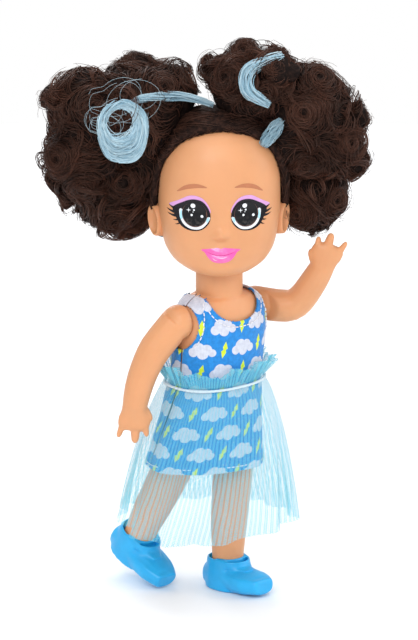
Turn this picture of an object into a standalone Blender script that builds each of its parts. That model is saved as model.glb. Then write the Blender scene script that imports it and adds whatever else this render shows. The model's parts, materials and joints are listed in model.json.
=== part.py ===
"""A small curly-haired play doll in a knit dress with a net overskirt, as separate solids in metres.

The doll faces -Y, its left side is +X, and it stands on z = 0. The torso stays square to the axes.
The head, arms and legs hang on empties that lie on their joints, turned to the pose of the doll.
"""

import math

import bmesh
import bpy
import numpy as np
from mathutils import Matrix, Vector

# Fits shared by several pieces
FIT_GAP = 0.0003
SWING_GAP = 0.0004
CUT_OVERRUN = 0.004
MERGE_DISTANCE = 0.00001
SIDES = ((1, "left"), (-1, "right"))

# Heights of the main points above the floor
HIP_HEIGHT = 0.0450
CROTCH_DROP = 0.0065
CROTCH_HEIGHT = HIP_HEIGHT - CROTCH_DROP
SHOULDER_RISE = 0.0315
NECK_RISE = 0.0372
SHOULDER_TOP = HIP_HEIGHT + SHOULDER_RISE
NECK_TOP = HIP_HEIGHT + NECK_RISE
HEAD_HEIGHT = 0.0378

# Torso shell
TORSO_HALF_WIDTH = 0.0120
TORSO_HALF_DEPTH = 0.0084
TORSO_WALL = 0.0012
NECK_RADIUS = 0.0054
HIP_SETBACK = 0.0030
TORSO_POWER = 2.3
TORSO_SIDES = 24

# Height, half width, half depth and setback of each torso section, as shares of the sizes above
TORSO_SECTION_SHARES = (
    (0.00, 0.16, 0.34, 1.00),
    (0.04, 0.50, 0.66, 1.00),
    (0.13, 0.86, 0.90, 1.00),
    (0.24, 1.00, 1.00, 0.92),
    (0.36, 0.96, 1.00, 0.68),
    (0.47, 0.90, 0.98, 0.42),
    (0.60, 0.91, 0.97, 0.18),
    (0.74, 0.94, 0.95, 0.04),
    (0.86, 0.94, 0.87, 0.00),
    (0.93, 0.87, 0.77, 0.00),
    (0.98, 0.68, 0.69, 0.00),
)

# Neck plug and the mushroom that holds the head
KNOB_HEAD_RADIUS = 0.0046
KNOB_STEM_RADIUS = 0.0032
KNOB_HEAD_HEIGHT = 0.0030
KNOB_FLANGE_RADIUS = 0.0046
KNOB_FLANGE_HEIGHT = 0.0014

# Shoulder sockets
SHOULDER_DROP = 0.0054
SHOULDER_SETBACK = 0.0008
SHOULDER_SEAT = 0.0110
SHOULDER_SEAT_RADIUS = 0.0045
ARM_STEM_RADIUS = 0.0018
ARM_FLANGE_RADIUS = 0.0024
ARM_FLANGE_HEIGHT = 0.0010
ARM_FLANGE_INSET = 0.0027

# Arms: each segment's share of the arm's length, its flare and its forward bend in degrees
ARM_LENGTH = 0.0330
ARM_RIGHT_SEGMENT_SHARES = (0.24, 0.185, 0.15, 0.13, 0.15)
ARM_LEFT_SEGMENT_SHARES = (0.22, 0.12, 0.205, 0.12, 0.15)
ARM_RIGHT_FLARE = (32, 21, 14, 9, 3)
ARM_LEFT_FLARE = (33, 32, 12, 10, 4)
ARM_RIGHT_BEND = (0, 7, 13, 17, 24)
ARM_LEFT_BEND = (2, 38, 62, 67, 75)
ARM_RIGHT_THUMB_SHARE = (-0.74, -0.60, 0.20)
ARM_LEFT_THUMB_SHARE = (-0.74, -0.10, 0.64)
ARM_CAP_RADIUS = 0.0042
ARM_CAP_LENGTH = 0.0020
ARM_DOME_LENGTH = 0.0042
ARM_CLEARANCE = 0.0022
ARM_ELBOW_RADIUS = 0.0036
WRIST_RADIUS = 0.0030
ARM_SIDES = 14
DISC_SIDES = 16
PALM_HALF_WIDTH = 0.0040
PALM_HALF_THICKNESS = 0.0019

# Arm radius from the cap to the wrist as shares of the cap's, the elbow's and the wrist's radius
ARM_RADII = (
    ARM_CAP_RADIUS * 0.97,
    ARM_CAP_RADIUS * 0.95,
    ARM_ELBOW_RADIUS,
    ARM_ELBOW_RADIUS * 0.93,
    WRIST_RADIUS,
)

# Palm, from the wrist on: place along the hand, width and thickness, as shares
PALM_SECTION_SHARES = (
    (0.14, 0.80, 1.30),
    (0.30, 0.96, 1.08),
    (0.46, 1.00, 0.95),
    (0.57, 0.90, 0.80),
    (0.63, 0.60, 0.50),
)

# Domed disc on a joint: reach from the body and radius, as shares
DOME_SHARES = ((0.00, 1.00), (0.45, 1.00), (0.75, 0.88), (0.92, 0.68), (1.00, 0.42))

# Fingers: root along and across the hand, tip along and across, and half width, as shares
HAND_LENGTH = 0.0095
FINGER_SHARES = {
    "thumb": (0.02, 0.23, 0.38, 0.43, 0.11),
    "index": (0.32, 0.25, 0.80, 0.33, 0.095),
    "middle": (0.32, 0.03, 0.97, 0.04, 0.132),
    "little": (0.32, -0.25, 0.84, -0.39, 0.093),
}
FINGER_PLACE_SHARES = (0.00, 0.30, 0.68, 0.90, 1.00)
FINGER_TAPER_SHARES = (0.80, 1.00, 0.95, 0.78, 0.40)
FINGER_THICKNESS_SHARE = 0.85
FINGER_SIDES = 6

# Legs, down from the hip
LEG_TOP_RADIUS = 0.0054
LEG_CENTRE = 0.0064
PELVIS_HALF_WIDTH = 0.0026
THIGH_RADIUS = 0.0048
LEG_STEM_RADIUS = 0.0018
LEG_FLANGE_RADIUS = 0.0028
LEG_FLANGE_HEIGHT = 0.0007
LEG_SIDES = 14
LEG_START_SHARE = 0.8333
LEG_END_HEIGHT = 0.00315

# Drop from under the hip disc, half width, half depth, sideways place and setback of a leg section
LEG_SECTION_SHARES = (
    (0.000, 0.865, 1.04, 1.11, 0.00),
    (0.145, 0.895, 1.03, 1.11, -0.40),
    (0.313, 1.00, 1.02, 1.03, -0.60),
    (0.506, 0.95, 0.97, 1.00, 0.00),
    (0.675, 0.89, 0.93, 0.99, 0.60),
    (0.843, 0.80, 0.82, 1.00, 0.90),
    (1.000, 0.76, 0.76, 1.00, 1.00),
)
ANKLE_SETBACK = 0.0010

# Foot inside the shoe, from the heel forwards
FOOT_LENGTH = 0.0166
HEEL_BEHIND_ANKLE = 0.0045
FOOT_HALF_WIDTH = 0.0038
INSTEP_HEIGHT = 0.0062
FOOT_SIDES = 14
TOE_SPRING_START = 0.55
FOOT_SECTION_SHARES = (
    (0.00, 0.62, 0.50),
    (0.08, 0.84, 0.72),
    (0.28, 0.92, 0.86),
    (0.50, 0.94, 0.72),
    (0.64, 0.99, 0.60),
    (0.80, 0.97, 0.52),
    (0.93, 0.80, 0.42),
    (1.00, 0.52, 0.30),
)

# Shoes
SHOE_WALL = 0.0008
SOLE_THICKNESS = 0.0012
TOE_SPRING = 0.0011
COLLAR_HEIGHT = 0.0078
COLLAR_WALL = 0.0009
STRAP_WIDTH = 0.0018
STRAP_REACH = 0.0066
WINDOW_HEIGHT = 0.0013
WELT_REACH = 0.0003
SHOE_SIDES = 20
SHOE_POWER = 2.3

# Collar of a shoe: height and draw towards the ankle, as shares
COLLAR_SECTION_SHARES = ((0.00, 1.00), (0.50, 0.97), (0.85, 0.93), (1.00, 0.90))

# Dress
CLOTH_THICKNESS = 0.0004
CLOTH_EASE = 0.0005
HEM_DROP = 0.0125
HEM_HEIGHT = HIP_HEIGHT - HEM_DROP
HEM_HALF_WIDTH = 0.0138
HEM_HALF_DEPTH = 0.0094
HEM_SETBACK = 0.0052
HEM_TURN = math.radians(-26)
DRESS_WAIST_SHARE = 0.42
NECKLINE_HALF_WIDTH = 0.0074
NECKLINE_FRONT_DROP = 0.0056
NECKLINE_BACK_DROP = 0.0026
ARMHOLE_HALF_HEIGHT = 0.0064
ARMHOLE_HALF_DEPTH = 0.0052
ARMHOLE_DROP = 0.0060
ARMHOLE_REACH = 0.0104
CLOSURE_OVERLAP = 0.0034
CLOSURE_LIFT_START = math.radians(42)
CLOSURE_LIFT_END = math.radians(68)
CLOSURE_LAP_EASE = math.radians(8)
CLOSURE_FALL = math.radians(25)
TAPE_THICKNESS = 0.0004
TAPE_WIDTH = 0.0030
STITCH_RADIUS = 0.0002
STITCH_INSET = 0.0012

# Net overskirt
WAIST_RISE = 0.0095
WAIST_HEIGHT = HIP_HEIGHT + WAIST_RISE
ELASTIC_RADIUS = 0.0005
NET_THICKNESS = 0.0004
SKIRT_DROP = 0.0275
SKIRT_HEM_HEIGHT = HIP_HEIGHT - SKIRT_DROP
SKIRT_HEM_HALF_WIDTH = 0.0212
SKIRT_HEM_HALF_DEPTH = 0.0194
SKIRT_HEM_SETBACK = 0.0056
SKIRT_HEM_TURN = math.radians(-20)
SKIRT_FOLDS = 11
SKIRT_FULLNESS = 0.8
SKIRT_FOLD_DEPTH = 0.0016
RUFFLE_HEIGHT = 0.0058
RUFFLE_FLARE = 0.0014
RUFFLE_FOLDS = 16
RUFFLE_FOLD_DEPTH = 0.0007

# Head shell
HEAD_HALF_WIDTH = 0.0146
HEAD_FRONT_DEPTH = 0.0132
HEAD_BACK_DEPTH = 0.0150
HEAD_WALL = 0.0012
HEAD_POWER = 2.25
HEAD_SIDES = 24
EAR_HEIGHT = 0.0078
EAR_REACH = 0.0167
EAR_LIFT = 0.0110
NOSE_LIFT = 0.0122
NOSE_REACH = 0.0146
NOSE_RADIUS = 0.0018

# Height, half width, front depth and back depth of each head section, as shares
HEAD_SECTION_SHARES = (
    (0.000, 0.40, 0.62, 0.42),
    (0.035, 0.60, 0.84, 0.60),
    (0.095, 0.79, 0.955, 0.76),
    (0.180, 0.905, 1.00, 0.86),
    (0.290, 0.965, 1.00, 0.93),
    (0.430, 1.00, 0.99, 0.98),
    (0.600, 0.995, 0.985, 1.00),
    (0.740, 0.93, 0.92, 0.94),
    (0.860, 0.77, 0.78, 0.78),
    (0.950, 0.48, 0.50, 0.48),
    (0.990, 0.18, 0.19, 0.18),
)

# Hair
SCALP_THICKNESS = 0.0018
HAIRLINE_TOP_REACH = 0.0078
HAIRLINE_TOP_SHARE = 0.926
HAIRLINE_EAR_REACH = 0.0004
HAIRLINE_EAR_SHARE = 0.423
NAPE_HEIGHT = 0.0060
LOBE_DEPTH_SHARE = 0.86
LOBE_SEGMENTS = 14
LOBE_RINGS = 8

# Each lobe of curls: sideways, backwards and upwards place and radius, as shares of the head's height
PUFF_RIGHT_LOBE_SHARES = (
    (-0.58, 0.08, 1.00, 0.380),
    (-0.84, 0.10, 0.78, 0.345),
    (-0.70, 0.16, 0.49, 0.310),
    (-0.42, 0.07, 0.84, 0.240),
)
PUFF_LEFT_LOBE_SHARES = (
    (0.22, 0.05, 1.165, 0.305),
    (0.60, 0.08, 1.04, 0.365),
    (0.69, 0.12, 0.70, 0.300),
    (0.56, 0.24, 0.455, 0.250),
    (0.42, 0.07, 0.82, 0.240),
)

# Blue locks: sideways, forwards and upwards points, as shares of the head's height
STREAK_RADIUS = 0.0018
STREAK_RING_RADIUS = 0.0068
STREAK_RING_PLACE_SHARE = (-0.64, 0.25, 0.98)
STREAK_STRAND_SHARES = ((-0.48, 0.10, 1.13), (-0.27, 0.08, 1.13), (-0.05, 0.06, 1.075))
STREAK_ARC_SHARES = (
    (0.40, 0.02, 1.43),
    (0.22, 0.15, 1.37),
    (0.18, 0.19, 1.24),
    (0.30, 0.18, 1.13),
)
STREAK_ROOT_SHARES = ((0.27, 0.20, 0.85), (0.33, 0.16, 0.93), (0.385, 0.11, 1.00))

# Pose of the doll: positive raises a limb forwards, and turns the head to the doll's left
HEAD_TURN = math.radians(-38)
ARM_LEFT_RAISE = math.radians(85)
ARM_RIGHT_RAISE = math.radians(-24)
LEG_LEFT_RAISE = math.radians(0)
LEG_RIGHT_RAISE = math.radians(-28)

# Side, raise and form of each arm
ARM_LEFT_FORM = (ARM_LEFT_SEGMENT_SHARES, ARM_LEFT_FLARE, ARM_LEFT_BEND, ARM_LEFT_THUMB_SHARE)
ARM_RIGHT_FORM = (ARM_RIGHT_SEGMENT_SHARES, ARM_RIGHT_FLARE, ARM_RIGHT_BEND, ARM_RIGHT_THUMB_SHARE)
ARMS = (
    ("arm_left", 1, ARM_LEFT_RAISE, ARM_LEFT_FORM),
    ("arm_right", -1, ARM_RIGHT_RAISE, ARM_RIGHT_FORM),
)

# Colours
SKIN = (0.79, 0.42, 0.22, 1.0)
HARD_SKIN = (0.74, 0.39, 0.21, 1.0)
HAIR_BROWN = (0.035, 0.018, 0.013, 1.0)
HAIR_BLUE = (0.45, 0.72, 0.84, 1.0)
DRESS_BLUE = (0.03, 0.28, 0.74, 1.0)
NET_CYAN = (0.32, 0.80, 0.90, 1.0)
THREAD_WHITE = (0.88, 0.88, 0.90, 1.0)
SHOE_BLUE = (0.02, 0.52, 0.83, 1.0)


def new_collection(name):
    """Make a collection and link it to the scene."""
    made = bpy.data.collections.new(name)
    bpy.context.scene.collection.children.link(made)
    return made


def clear_scene():
    """Remove what the start-up scene holds."""
    for obj in list(bpy.data.objects):
        bpy.data.objects.remove(obj, do_unlink=True)


clear_scene()
PARTS = new_collection("play_doll")
CUTTERS = new_collection("cutters")


def principled(name, colour, roughness):
    """Make a plain material, or return the one already made under this name."""
    made = bpy.data.materials.get(name)
    if made:
        return made
    made = bpy.data.materials.new(name)
    made.use_nodes = True
    shader = made.node_tree.nodes["Principled BSDF"]
    shader.inputs["Base Color"].default_value = colour
    shader.inputs["Roughness"].default_value = roughness
    shader.inputs["Metallic"].default_value = 0.0
    made.diffuse_color = colour
    return made


def add_object(name, mesh, parent, colour=None, roughness=0.5):
    """Put a mesh in the scene: a part when it has a colour, and otherwise a cutter."""
    obj = bpy.data.objects.new(name, mesh)
    obj.parent = parent
    if colour is None:
        CUTTERS.objects.link(obj)
        obj.hide_render = True
        obj.display_type = "WIRE"
        return obj
    PARTS.objects.link(obj)
    mesh.materials.append(principled(name, colour, roughness))
    return obj


def add_empty(name, place, parent=None):
    """Make an empty that parts hang on."""
    empty = bpy.data.objects.new(name, None)
    empty.location = place
    empty.parent = parent
    CUTTERS.objects.link(empty)
    return empty


def apply_boolean(obj, operand, operation="DIFFERENCE"):
    """Cut, join or intersect an object with another by an exact Boolean."""
    modifier = obj.modifiers.new(operand.name, "BOOLEAN")
    modifier.solver = "EXACT"
    modifier.operation = operation
    modifier.object = operand
    return obj


def mesh_from_rings(name, rings):
    """Skin rings of equal count into one closed mesh, capped at both ends."""
    form = bmesh.new()
    rows = [[form.verts.new(point) for point in ring] for ring in rings]
    count = len(rows[0])
    for low, high in zip(rows, rows[1:]):
        for i in range(count):
            j = (i + 1) % count
            form.faces.new((low[i], low[j], high[j], high[i]))
    form.faces.new(rows[0])
    form.faces.new(list(reversed(rows[-1])))
    return finish_mesh(name, form)


def finish_mesh(name, form):
    """Turn a bmesh into a mesh with its faces outwards and its round sides smooth."""
    bmesh.ops.recalc_face_normals(form, faces=form.faces)
    mesh = bpy.data.meshes.new(name)
    form.to_mesh(mesh)
    form.free()
    mesh.shade_smooth()
    mesh.set_sharp_from_angle(angle=math.radians(40))
    return mesh


def rounded_power(value, power):
    """Bend a sine or cosine so that a ring becomes squarer as the power grows."""
    return math.copysign(abs(value) ** (2.0 / power), value)


def level_ring(section, count, power):
    """Ring at one height: half width, front depth (towards -Y) and back depth about its own centre."""
    height, width, front, back, centre_x, centre_y, turn = section
    points = []
    for i in range(count):
        angle = math.tau * i / count
        across = width * rounded_power(math.cos(angle), power)
        along = rounded_power(math.sin(angle), power)
        along *= back if along > 0 else front
        x = centre_x + across * math.cos(turn) - along * math.sin(turn)
        y = centre_y + across * math.sin(turn) + along * math.cos(turn)
        points.append(Vector((x, y, height)))
    return points


def eased(sections, ease):
    """Move a stack of sections out along its side profile, or in when the ease is negative."""
    moved = []
    last = len(sections) - 1
    for i, section in enumerate(sections):
        below = sections[max(i - 1, 0)]
        above = sections[min(i + 1, last)]
        rise = above[0] - below[0]
        spread = above[1] - below[1]
        length = math.hypot(rise, spread)
        out = ease * rise / length
        up = -ease * spread / length
        height, width, front, back, centre_x, centre_y, turn = section
        moved.append((height + up, width + out, front + out, back + out, centre_x, centre_y, turn))
    return moved


def level_loft(name, sections, count, power):
    """Skin level sections into one closed mesh."""
    return mesh_from_rings(name, [level_ring(section, count, power) for section in sections])


def block_mesh(name, low, high):
    """Box between two corners."""
    form = bmesh.new()
    bmesh.ops.create_cube(form, size=1.0)
    size = Vector(high) - Vector(low)
    middle = (Vector(high) + Vector(low)) / 2
    place = Matrix.Translation(middle) @ Matrix.Diagonal((*size, 1.0))
    bmesh.ops.transform(form, matrix=place, verts=form.verts)
    return finish_mesh(name, form)


def cross_cylinder(name, radius, start, end, centre_y, centre_z, sides=24):
    """Cylinder along X between two places."""
    rings = []
    for x in (start, end):
        ring = []
        for i in range(sides):
            angle = math.tau * i / sides
            y = centre_y + radius * math.cos(angle)
            ring.append(Vector((x, y, centre_z + radius * math.sin(angle))))
        rings.append(ring)
    return mesh_from_rings(name, rings)


def ball_mesh(name, centre, radii, segments=12, rings=8, tilt=0.0):
    """Ellipsoid with its own radii, tilted about Y."""
    form = bmesh.new()
    bmesh.ops.create_uvsphere(form, u_segments=segments, v_segments=rings, radius=1.0)
    place = Matrix.Translation(centre) @ Matrix.Rotation(tilt, 4, "Y") @ Matrix.Diagonal((*radii, 1.0))
    bmesh.ops.transform(form, matrix=place, verts=form.verts)
    return finish_mesh(name, form)


def turned_object(name, profile, steps, parent, colour, roughness):
    """Solid of revolution about Z from a profile that runs down its outer side."""
    mesh = bpy.data.meshes.new(name)
    edges = [(i, i + 1) for i in range(len(profile) - 1)]
    mesh.from_pydata([(radius, 0, height) for radius, height in profile], edges, [])
    obj = add_object(name, mesh, parent, colour, roughness)
    screw = obj.modifiers.new("turn", "SCREW")
    screw.angle = math.tau
    screw.steps = steps
    screw.render_steps = steps
    screw.use_merge_vertices = True
    screw.merge_threshold = MERGE_DISTANCE
    return obj


def smooth_route(points, steps):
    """Points along a smooth curve through the given ones."""
    route = []
    last = len(points) - 1
    for i in range(last):
        a = Vector(points[max(i - 1, 0)])
        b = Vector(points[i])
        c = Vector(points[i + 1])
        d = Vector(points[min(i + 2, last)])
        for step in range(steps):
            t = step / steps
            square = (2 * a - 5 * b + 4 * c - d) * t**2
            cube = (3 * b - a - 3 * c + d) * t**3
            route.append((2 * b + (c - a) * t + square + cube) / 2)
    route.append(Vector(points[-1]))
    return route


def tube_mesh(name, route, widths, depths, across, sides, power=2.0):
    """Skin a route with rings whose first axis leans to the direction across at the route's end."""
    rings = []
    last = len(route) - 1
    first = across
    for i in range(last, -1, -1):
        along = (route[min(i + 1, last)] - route[max(i - 1, 0)]).normalized()
        first = (first - along * first.dot(along)).normalized()
        second = along.cross(first)
        ring = []
        for k in range(sides):
            angle = math.tau * k / sides
            u = widths[i] * rounded_power(math.cos(angle), power)
            v = depths[i] * rounded_power(math.sin(angle), power)
            ring.append(route[i] + first * u + second * v)
        rings.append(ring)
    return mesh_from_rings(name, rings)


def torso_sections():
    """Sections of the bare torso from the crotch to the neck."""
    sections = []
    for lift, width, depth, setback in TORSO_SECTION_SHARES:
        height = CROTCH_HEIGHT + lift * (SHOULDER_TOP - CROTCH_HEIGHT)
        half_depth = depth * TORSO_HALF_DEPTH
        sections.append(
            (height, width * TORSO_HALF_WIDTH, half_depth, half_depth, 0, setback * HIP_SETBACK, 0)
        )
    return sections


def neck_section(height):
    """Round section of the neck."""
    return (height, NECK_RADIUS, NECK_RADIUS, NECK_RADIUS, 0, 0, 0)


def torso_core(root):
    """The hollow inside the torso, with the pelvis kept narrow between the legs."""
    outside = torso_sections() + [neck_section(SHOULDER_TOP), neck_section(NECK_TOP)]
    sections = eased(outside, -TORSO_WALL)
    top = sections[-1]
    sections.append((top[0] + CUT_OVERRUN, *top[1:]))
    core = add_object("torso_core", level_loft("torso_core", sections, TORSO_SIDES, TORSO_POWER), root)
    inside = PELVIS_HALF_WIDTH - TORSO_WALL
    roof = HIP_HEIGHT + LEG_TOP_RADIUS + SWING_GAP + TORSO_WALL
    for side, name in SIDES:
        block = pelvis_block("core_pelvis_" + name, side, inside, roof, root)
        apply_boolean(core, block)
    return core


def pelvis_block(name, side, inside, roof, root):
    """Block beside the pelvis, from one side plane outwards and below a roof."""
    reach = TORSO_HALF_WIDTH * 2
    low_x, high_x = sorted((side * inside, side * reach))
    low = (low_x, -reach, CROTCH_HEIGHT - CUT_OVERRUN)
    return add_object(name, block_mesh(name, low, (high_x, reach, roof)), root)


def shoulder_height():
    """Height of the shoulder joint."""
    return SHOULDER_TOP - SHOULDER_DROP


def seam_block(name, side, root):
    """Block that keeps one side of the torso's seam, which runs through all four limb joints."""
    lean = math.atan2(HIP_SETBACK - SHOULDER_SETBACK, shoulder_height() - HIP_HEIGHT)
    reach = SHOULDER_TOP
    low_y, high_y = sorted((-side * FIT_GAP / 2, side * reach))
    mesh = block_mesh(name, (-reach, low_y, -reach), (reach, high_y, reach))
    block = add_object(name, mesh, root)
    block.location = (0, SHOULDER_SETBACK, shoulder_height())
    block.rotation_euler.x = lean
    return block


def socket_cutters(root):
    """Seats and peg holes of the arms and legs, and the room for the legs' tops."""
    cutters = []
    out = TORSO_HALF_WIDTH + CUT_OVERRUN
    for side, name in SIDES:
        seat = cross_cylinder(
            "seat_" + name,
            SHOULDER_SEAT_RADIUS,
            side * SHOULDER_SEAT,
            side * out,
            SHOULDER_SETBACK,
            shoulder_height(),
        )
        hole = cross_cylinder(
            "arm_hole_" + name,
            ARM_STEM_RADIUS + FIT_GAP,
            side * (SHOULDER_SEAT - 2 * TORSO_WALL),
            side * out,
            SHOULDER_SETBACK,
            shoulder_height(),
        )
        peg = cross_cylinder(
            "leg_hole_" + name,
            LEG_STEM_RADIUS + FIT_GAP,
            side * (PELVIS_HALF_WIDTH - 1.5 * TORSO_WALL),
            side * out,
            HIP_SETBACK,
            HIP_HEIGHT,
        )
        for mesh in (seat, hole, peg):
            cutters.append(add_object(mesh.name, mesh, root))
        roof = HIP_HEIGHT + LEG_TOP_RADIUS + SWING_GAP
        cutters.append(pelvis_block("pelvis_side_" + name, side, PELVIS_HALF_WIDTH, roof, root))
    return cutters


def build_torso(root):
    """Front and back shells of the torso with the neck."""
    core = torso_core(root)
    cutters = socket_cutters(root)
    sections = torso_sections() + [neck_section(SHOULDER_TOP), neck_section(NECK_TOP)]
    for name, side in (("torso_front", 1), ("torso_back", -1)):
        mesh = level_loft(name, sections, TORSO_SIDES, TORSO_POWER)
        shell = add_object(name, mesh, root, HARD_SKIN, 0.4)
        apply_boolean(shell, core)
        apply_boolean(shell, seam_block("seam_" + name, side, root))
        for cutter in cutters:
            apply_boolean(shell, cutter)


def head_base():
    """Height of the head's underside."""
    return NECK_TOP + SWING_GAP


def build_neck_knob(root):
    """Plug in the neck with the mushroom that the head turns on."""
    plug = NECK_RADIUS - TORSO_WALL - FIT_GAP
    flange_top = SHOULDER_TOP - 2 * TORSO_WALL
    knob_low = head_base() + HEAD_WALL + FIT_GAP
    knob_high = knob_low + KNOB_HEAD_HEIGHT
    profile = (
        (0, knob_high),
        (KNOB_HEAD_RADIUS * 0.7, knob_high),
        (KNOB_HEAD_RADIUS, knob_high - KNOB_HEAD_HEIGHT / 2),
        (KNOB_HEAD_RADIUS, knob_low),
        (KNOB_STEM_RADIUS, knob_low),
        (KNOB_STEM_RADIUS, NECK_TOP),
        (plug, NECK_TOP),
        (plug, flange_top),
        (KNOB_FLANGE_RADIUS, flange_top),
        (KNOB_FLANGE_RADIUS, flange_top - KNOB_FLANGE_HEIGHT),
        (0, flange_top - KNOB_FLANGE_HEIGHT),
    )
    turned_object("neck_knob", profile, 16, root, HARD_SKIN, 0.5)


def head_sections():
    """Sections of the head's outside, from its underside up, about the neck's axis."""
    sections = []
    for lift, width, front, back in HEAD_SECTION_SHARES:
        depths = (front * HEAD_FRONT_DEPTH, back * HEAD_BACK_DEPTH)
        sections.append((lift * HEAD_HEIGHT, width * HEAD_HALF_WIDTH, *depths, 0, 0, 0))
    return sections


def head_form(name, ease, parent, colour=None):
    """The head's form moved out by an ease, as a part or a cutter."""
    mesh = level_loft(name, eased(head_sections(), ease), HEAD_SIDES, HEAD_POWER)
    return add_object(name, mesh, parent, colour, 0.45)


def ear_ball(name, side, ease, parent):
    """Ellipsoid of one ear, grown by an ease."""
    radii = (EAR_HEIGHT * 0.30 + ease, EAR_HEIGHT * 0.20 + ease, EAR_HEIGHT / 2 + ease)
    centre = (side * (EAR_REACH - EAR_HEIGHT * 0.30), EAR_HEIGHT * 0.08, EAR_LIFT)
    mesh = ball_mesh(name, centre, radii, 10, 8, side * math.radians(12))
    return add_object(name, mesh, parent)


def build_head_shell(axis):
    """Hollow vinyl head with ears and a nose, open underneath for the knob."""
    shell = head_form("head_shell", 0, axis, SKIN)
    for side, name in SIDES:
        apply_boolean(shell, ear_ball("ear_" + name, side, 0, axis), "UNION")
    nose_centre = (0, -(NOSE_REACH - NOSE_RADIUS), NOSE_LIFT)
    nose = add_object("nose", ball_mesh("nose", nose_centre, (NOSE_RADIUS,) * 3, 10, 6), axis)
    apply_boolean(shell, nose, "UNION")
    apply_boolean(shell, head_form("head_core", -HEAD_WALL, axis))
    hole = block_hole("head_hole", KNOB_STEM_RADIUS + FIT_GAP, axis)
    apply_boolean(shell, hole)


def block_hole(name, radius, parent):
    """Round hole through the head's underside."""
    form = bmesh.new()
    depth = 2 * (HEAD_WALL + CUT_OVERRUN)
    bmesh.ops.create_cone(
        form, cap_ends=True, segments=16, radius1=radius, radius2=radius, depth=depth
    )
    return add_object(name, finish_mesh(name, form), parent)


def hair_limits(axis):
    """Blocks that keep the face and the nape clear of hair."""
    reach = 2 * HEAD_HEIGHT
    rise = (HAIRLINE_TOP_SHARE - HAIRLINE_EAR_SHARE) * HEAD_HEIGHT
    run = HAIRLINE_TOP_REACH - HAIRLINE_EAR_REACH
    low = (-reach, -reach, -reach)
    face = add_object("face_block", block_mesh("face_block", low, (reach, 0, reach)), axis)
    face.location = (0, -HAIRLINE_EAR_REACH, HAIRLINE_EAR_SHARE * HEAD_HEIGHT)
    face.rotation_euler.x = math.atan2(run, rise)
    nape = add_object("nape_block", block_mesh("nape_block", low, (reach, reach, NAPE_HEIGHT)), axis)
    return face, nape


def streak_forms():
    """Name, route and closedness of each blue lock, in the head's own space."""
    def placed(shares):
        return [Vector((x * HEAD_HEIGHT, -y * HEAD_HEIGHT, z * HEAD_HEIGHT)) for x, y, z in shares]

    return (
        ("hair_streak_strand", placed(STREAK_STRAND_SHARES)),
        ("hair_streak_arc", placed(STREAK_ARC_SHARES)),
        ("hair_streak_root", placed(STREAK_ROOT_SHARES)),
    )


def lock_mesh(name, route, ease):
    """Tapered lock of hair along a route, grown by an ease."""
    smooth = smooth_route(route, 3)
    smooth[0] = smooth[0] + (smooth[0] - smooth[1]).normalized() * ease
    smooth[-1] = smooth[-1] + (smooth[-1] - smooth[-2]).normalized() * ease
    taper = [0.55 + 0.45 * math.sin(math.pi * i / (len(smooth) - 1)) for i in range(len(smooth))]
    radii = [STREAK_RADIUS * share + ease for share in taper]
    return tube_mesh(name, smooth, radii, radii, Vector((0, 1, 0.2)), 8)


def ring_mesh(name, ring_radius, tube_radius, centre, facing, rings=16, sides=8):
    """Torus about a given direction."""
    form = bmesh.new()
    turn = Vector((0, 0, 1)).rotation_difference(Vector(facing)).to_matrix().to_4x4()
    rows = []
    for i in range(rings):
        around = math.tau * i / rings
        row = []
        for k in range(sides):
            angle = math.tau * k / sides
            reach = ring_radius + tube_radius * math.cos(angle)
            lift = tube_radius * math.sin(angle)
            point = Vector((reach * math.cos(around), reach * math.sin(around), lift))
            row.append(form.verts.new(Matrix.Translation(centre) @ turn @ point))
        rows.append(row)
    for i in range(rings):
        for k in range(sides):
            j = (i + 1) % rings
            m = (k + 1) % sides
            form.faces.new((rows[i][k], rows[j][k], rows[j][m], rows[i][m]))
    return finish_mesh(name, form)


def streak_ring(name, ease):
    """The round blue curl on the right puff, grown by an ease."""
    x, y, z = (share * HEAD_HEIGHT for share in STREAK_RING_PLACE_SHARE)
    return ring_mesh(name, STREAK_RING_RADIUS, STREAK_RADIUS + ease, (x, -y, z), (0.25, -1, 0.1))


def build_hair(axis):
    """Combed-back hair, two puffs of curls and the blue locks."""
    scalp_ease = FIT_GAP + SCALP_THICKNESS
    scalp = head_form("hair_scalp", scalp_ease, axis, HAIR_BROWN)
    apply_boolean(scalp, head_form("scalp_inside", FIT_GAP, axis))
    ears = [ear_ball("ear_room_" + name, side, FIT_GAP, axis) for side, name in SIDES]
    grooves = [add_object("groove_ring", streak_ring("groove_ring", FIT_GAP), axis)]
    for name, route in streak_forms():
        groove = lock_mesh("groove_" + name, route, FIT_GAP)
        grooves.append(add_object(groove.name, groove, axis))
        lock = add_object(name, lock_mesh(name, route, 0), axis, HAIR_BLUE, 0.5)
        apply_boolean(lock, head_form("room_" + name, FIT_GAP, axis))
    add_object("hair_streak_ring", streak_ring("hair_streak_ring", 0), axis, HAIR_BLUE, 0.5)
    for cutter in (*hair_limits(axis), *ears, *grooves):
        apply_boolean(scalp, cutter)
    room = head_form("scalp_room", scalp_ease + FIT_GAP, axis)
    for name, lobes in (("left", PUFF_LEFT_LOBE_SHARES), ("right", PUFF_RIGHT_LOBE_SHARES)):
        puff = puff_object("hair_puff_" + name, lobes, axis)
        for cutter in (room, *ears, *grooves):
            apply_boolean(puff, cutter)


def puff_object(name, lobes, axis):
    """One puff of curls as joined lobes."""
    balls = []
    for sideways, setback, lift, radius in lobes:
        size = radius * HEAD_HEIGHT
        centre = (sideways * HEAD_HEIGHT, setback * HEAD_HEIGHT, lift * HEAD_HEIGHT)
        radii = (size, size * LOBE_DEPTH_SHARE, size)
        balls.append(ball_mesh(name, centre, radii, LOBE_SEGMENTS, LOBE_RINGS))
    puff = add_object(name, balls[0], axis, HAIR_BROWN, 0.7)
    for i, ball in enumerate(balls[1:]):
        apply_boolean(puff, add_object(f"lobe_{name}_{i}", ball, axis), "UNION")
    return puff


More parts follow.
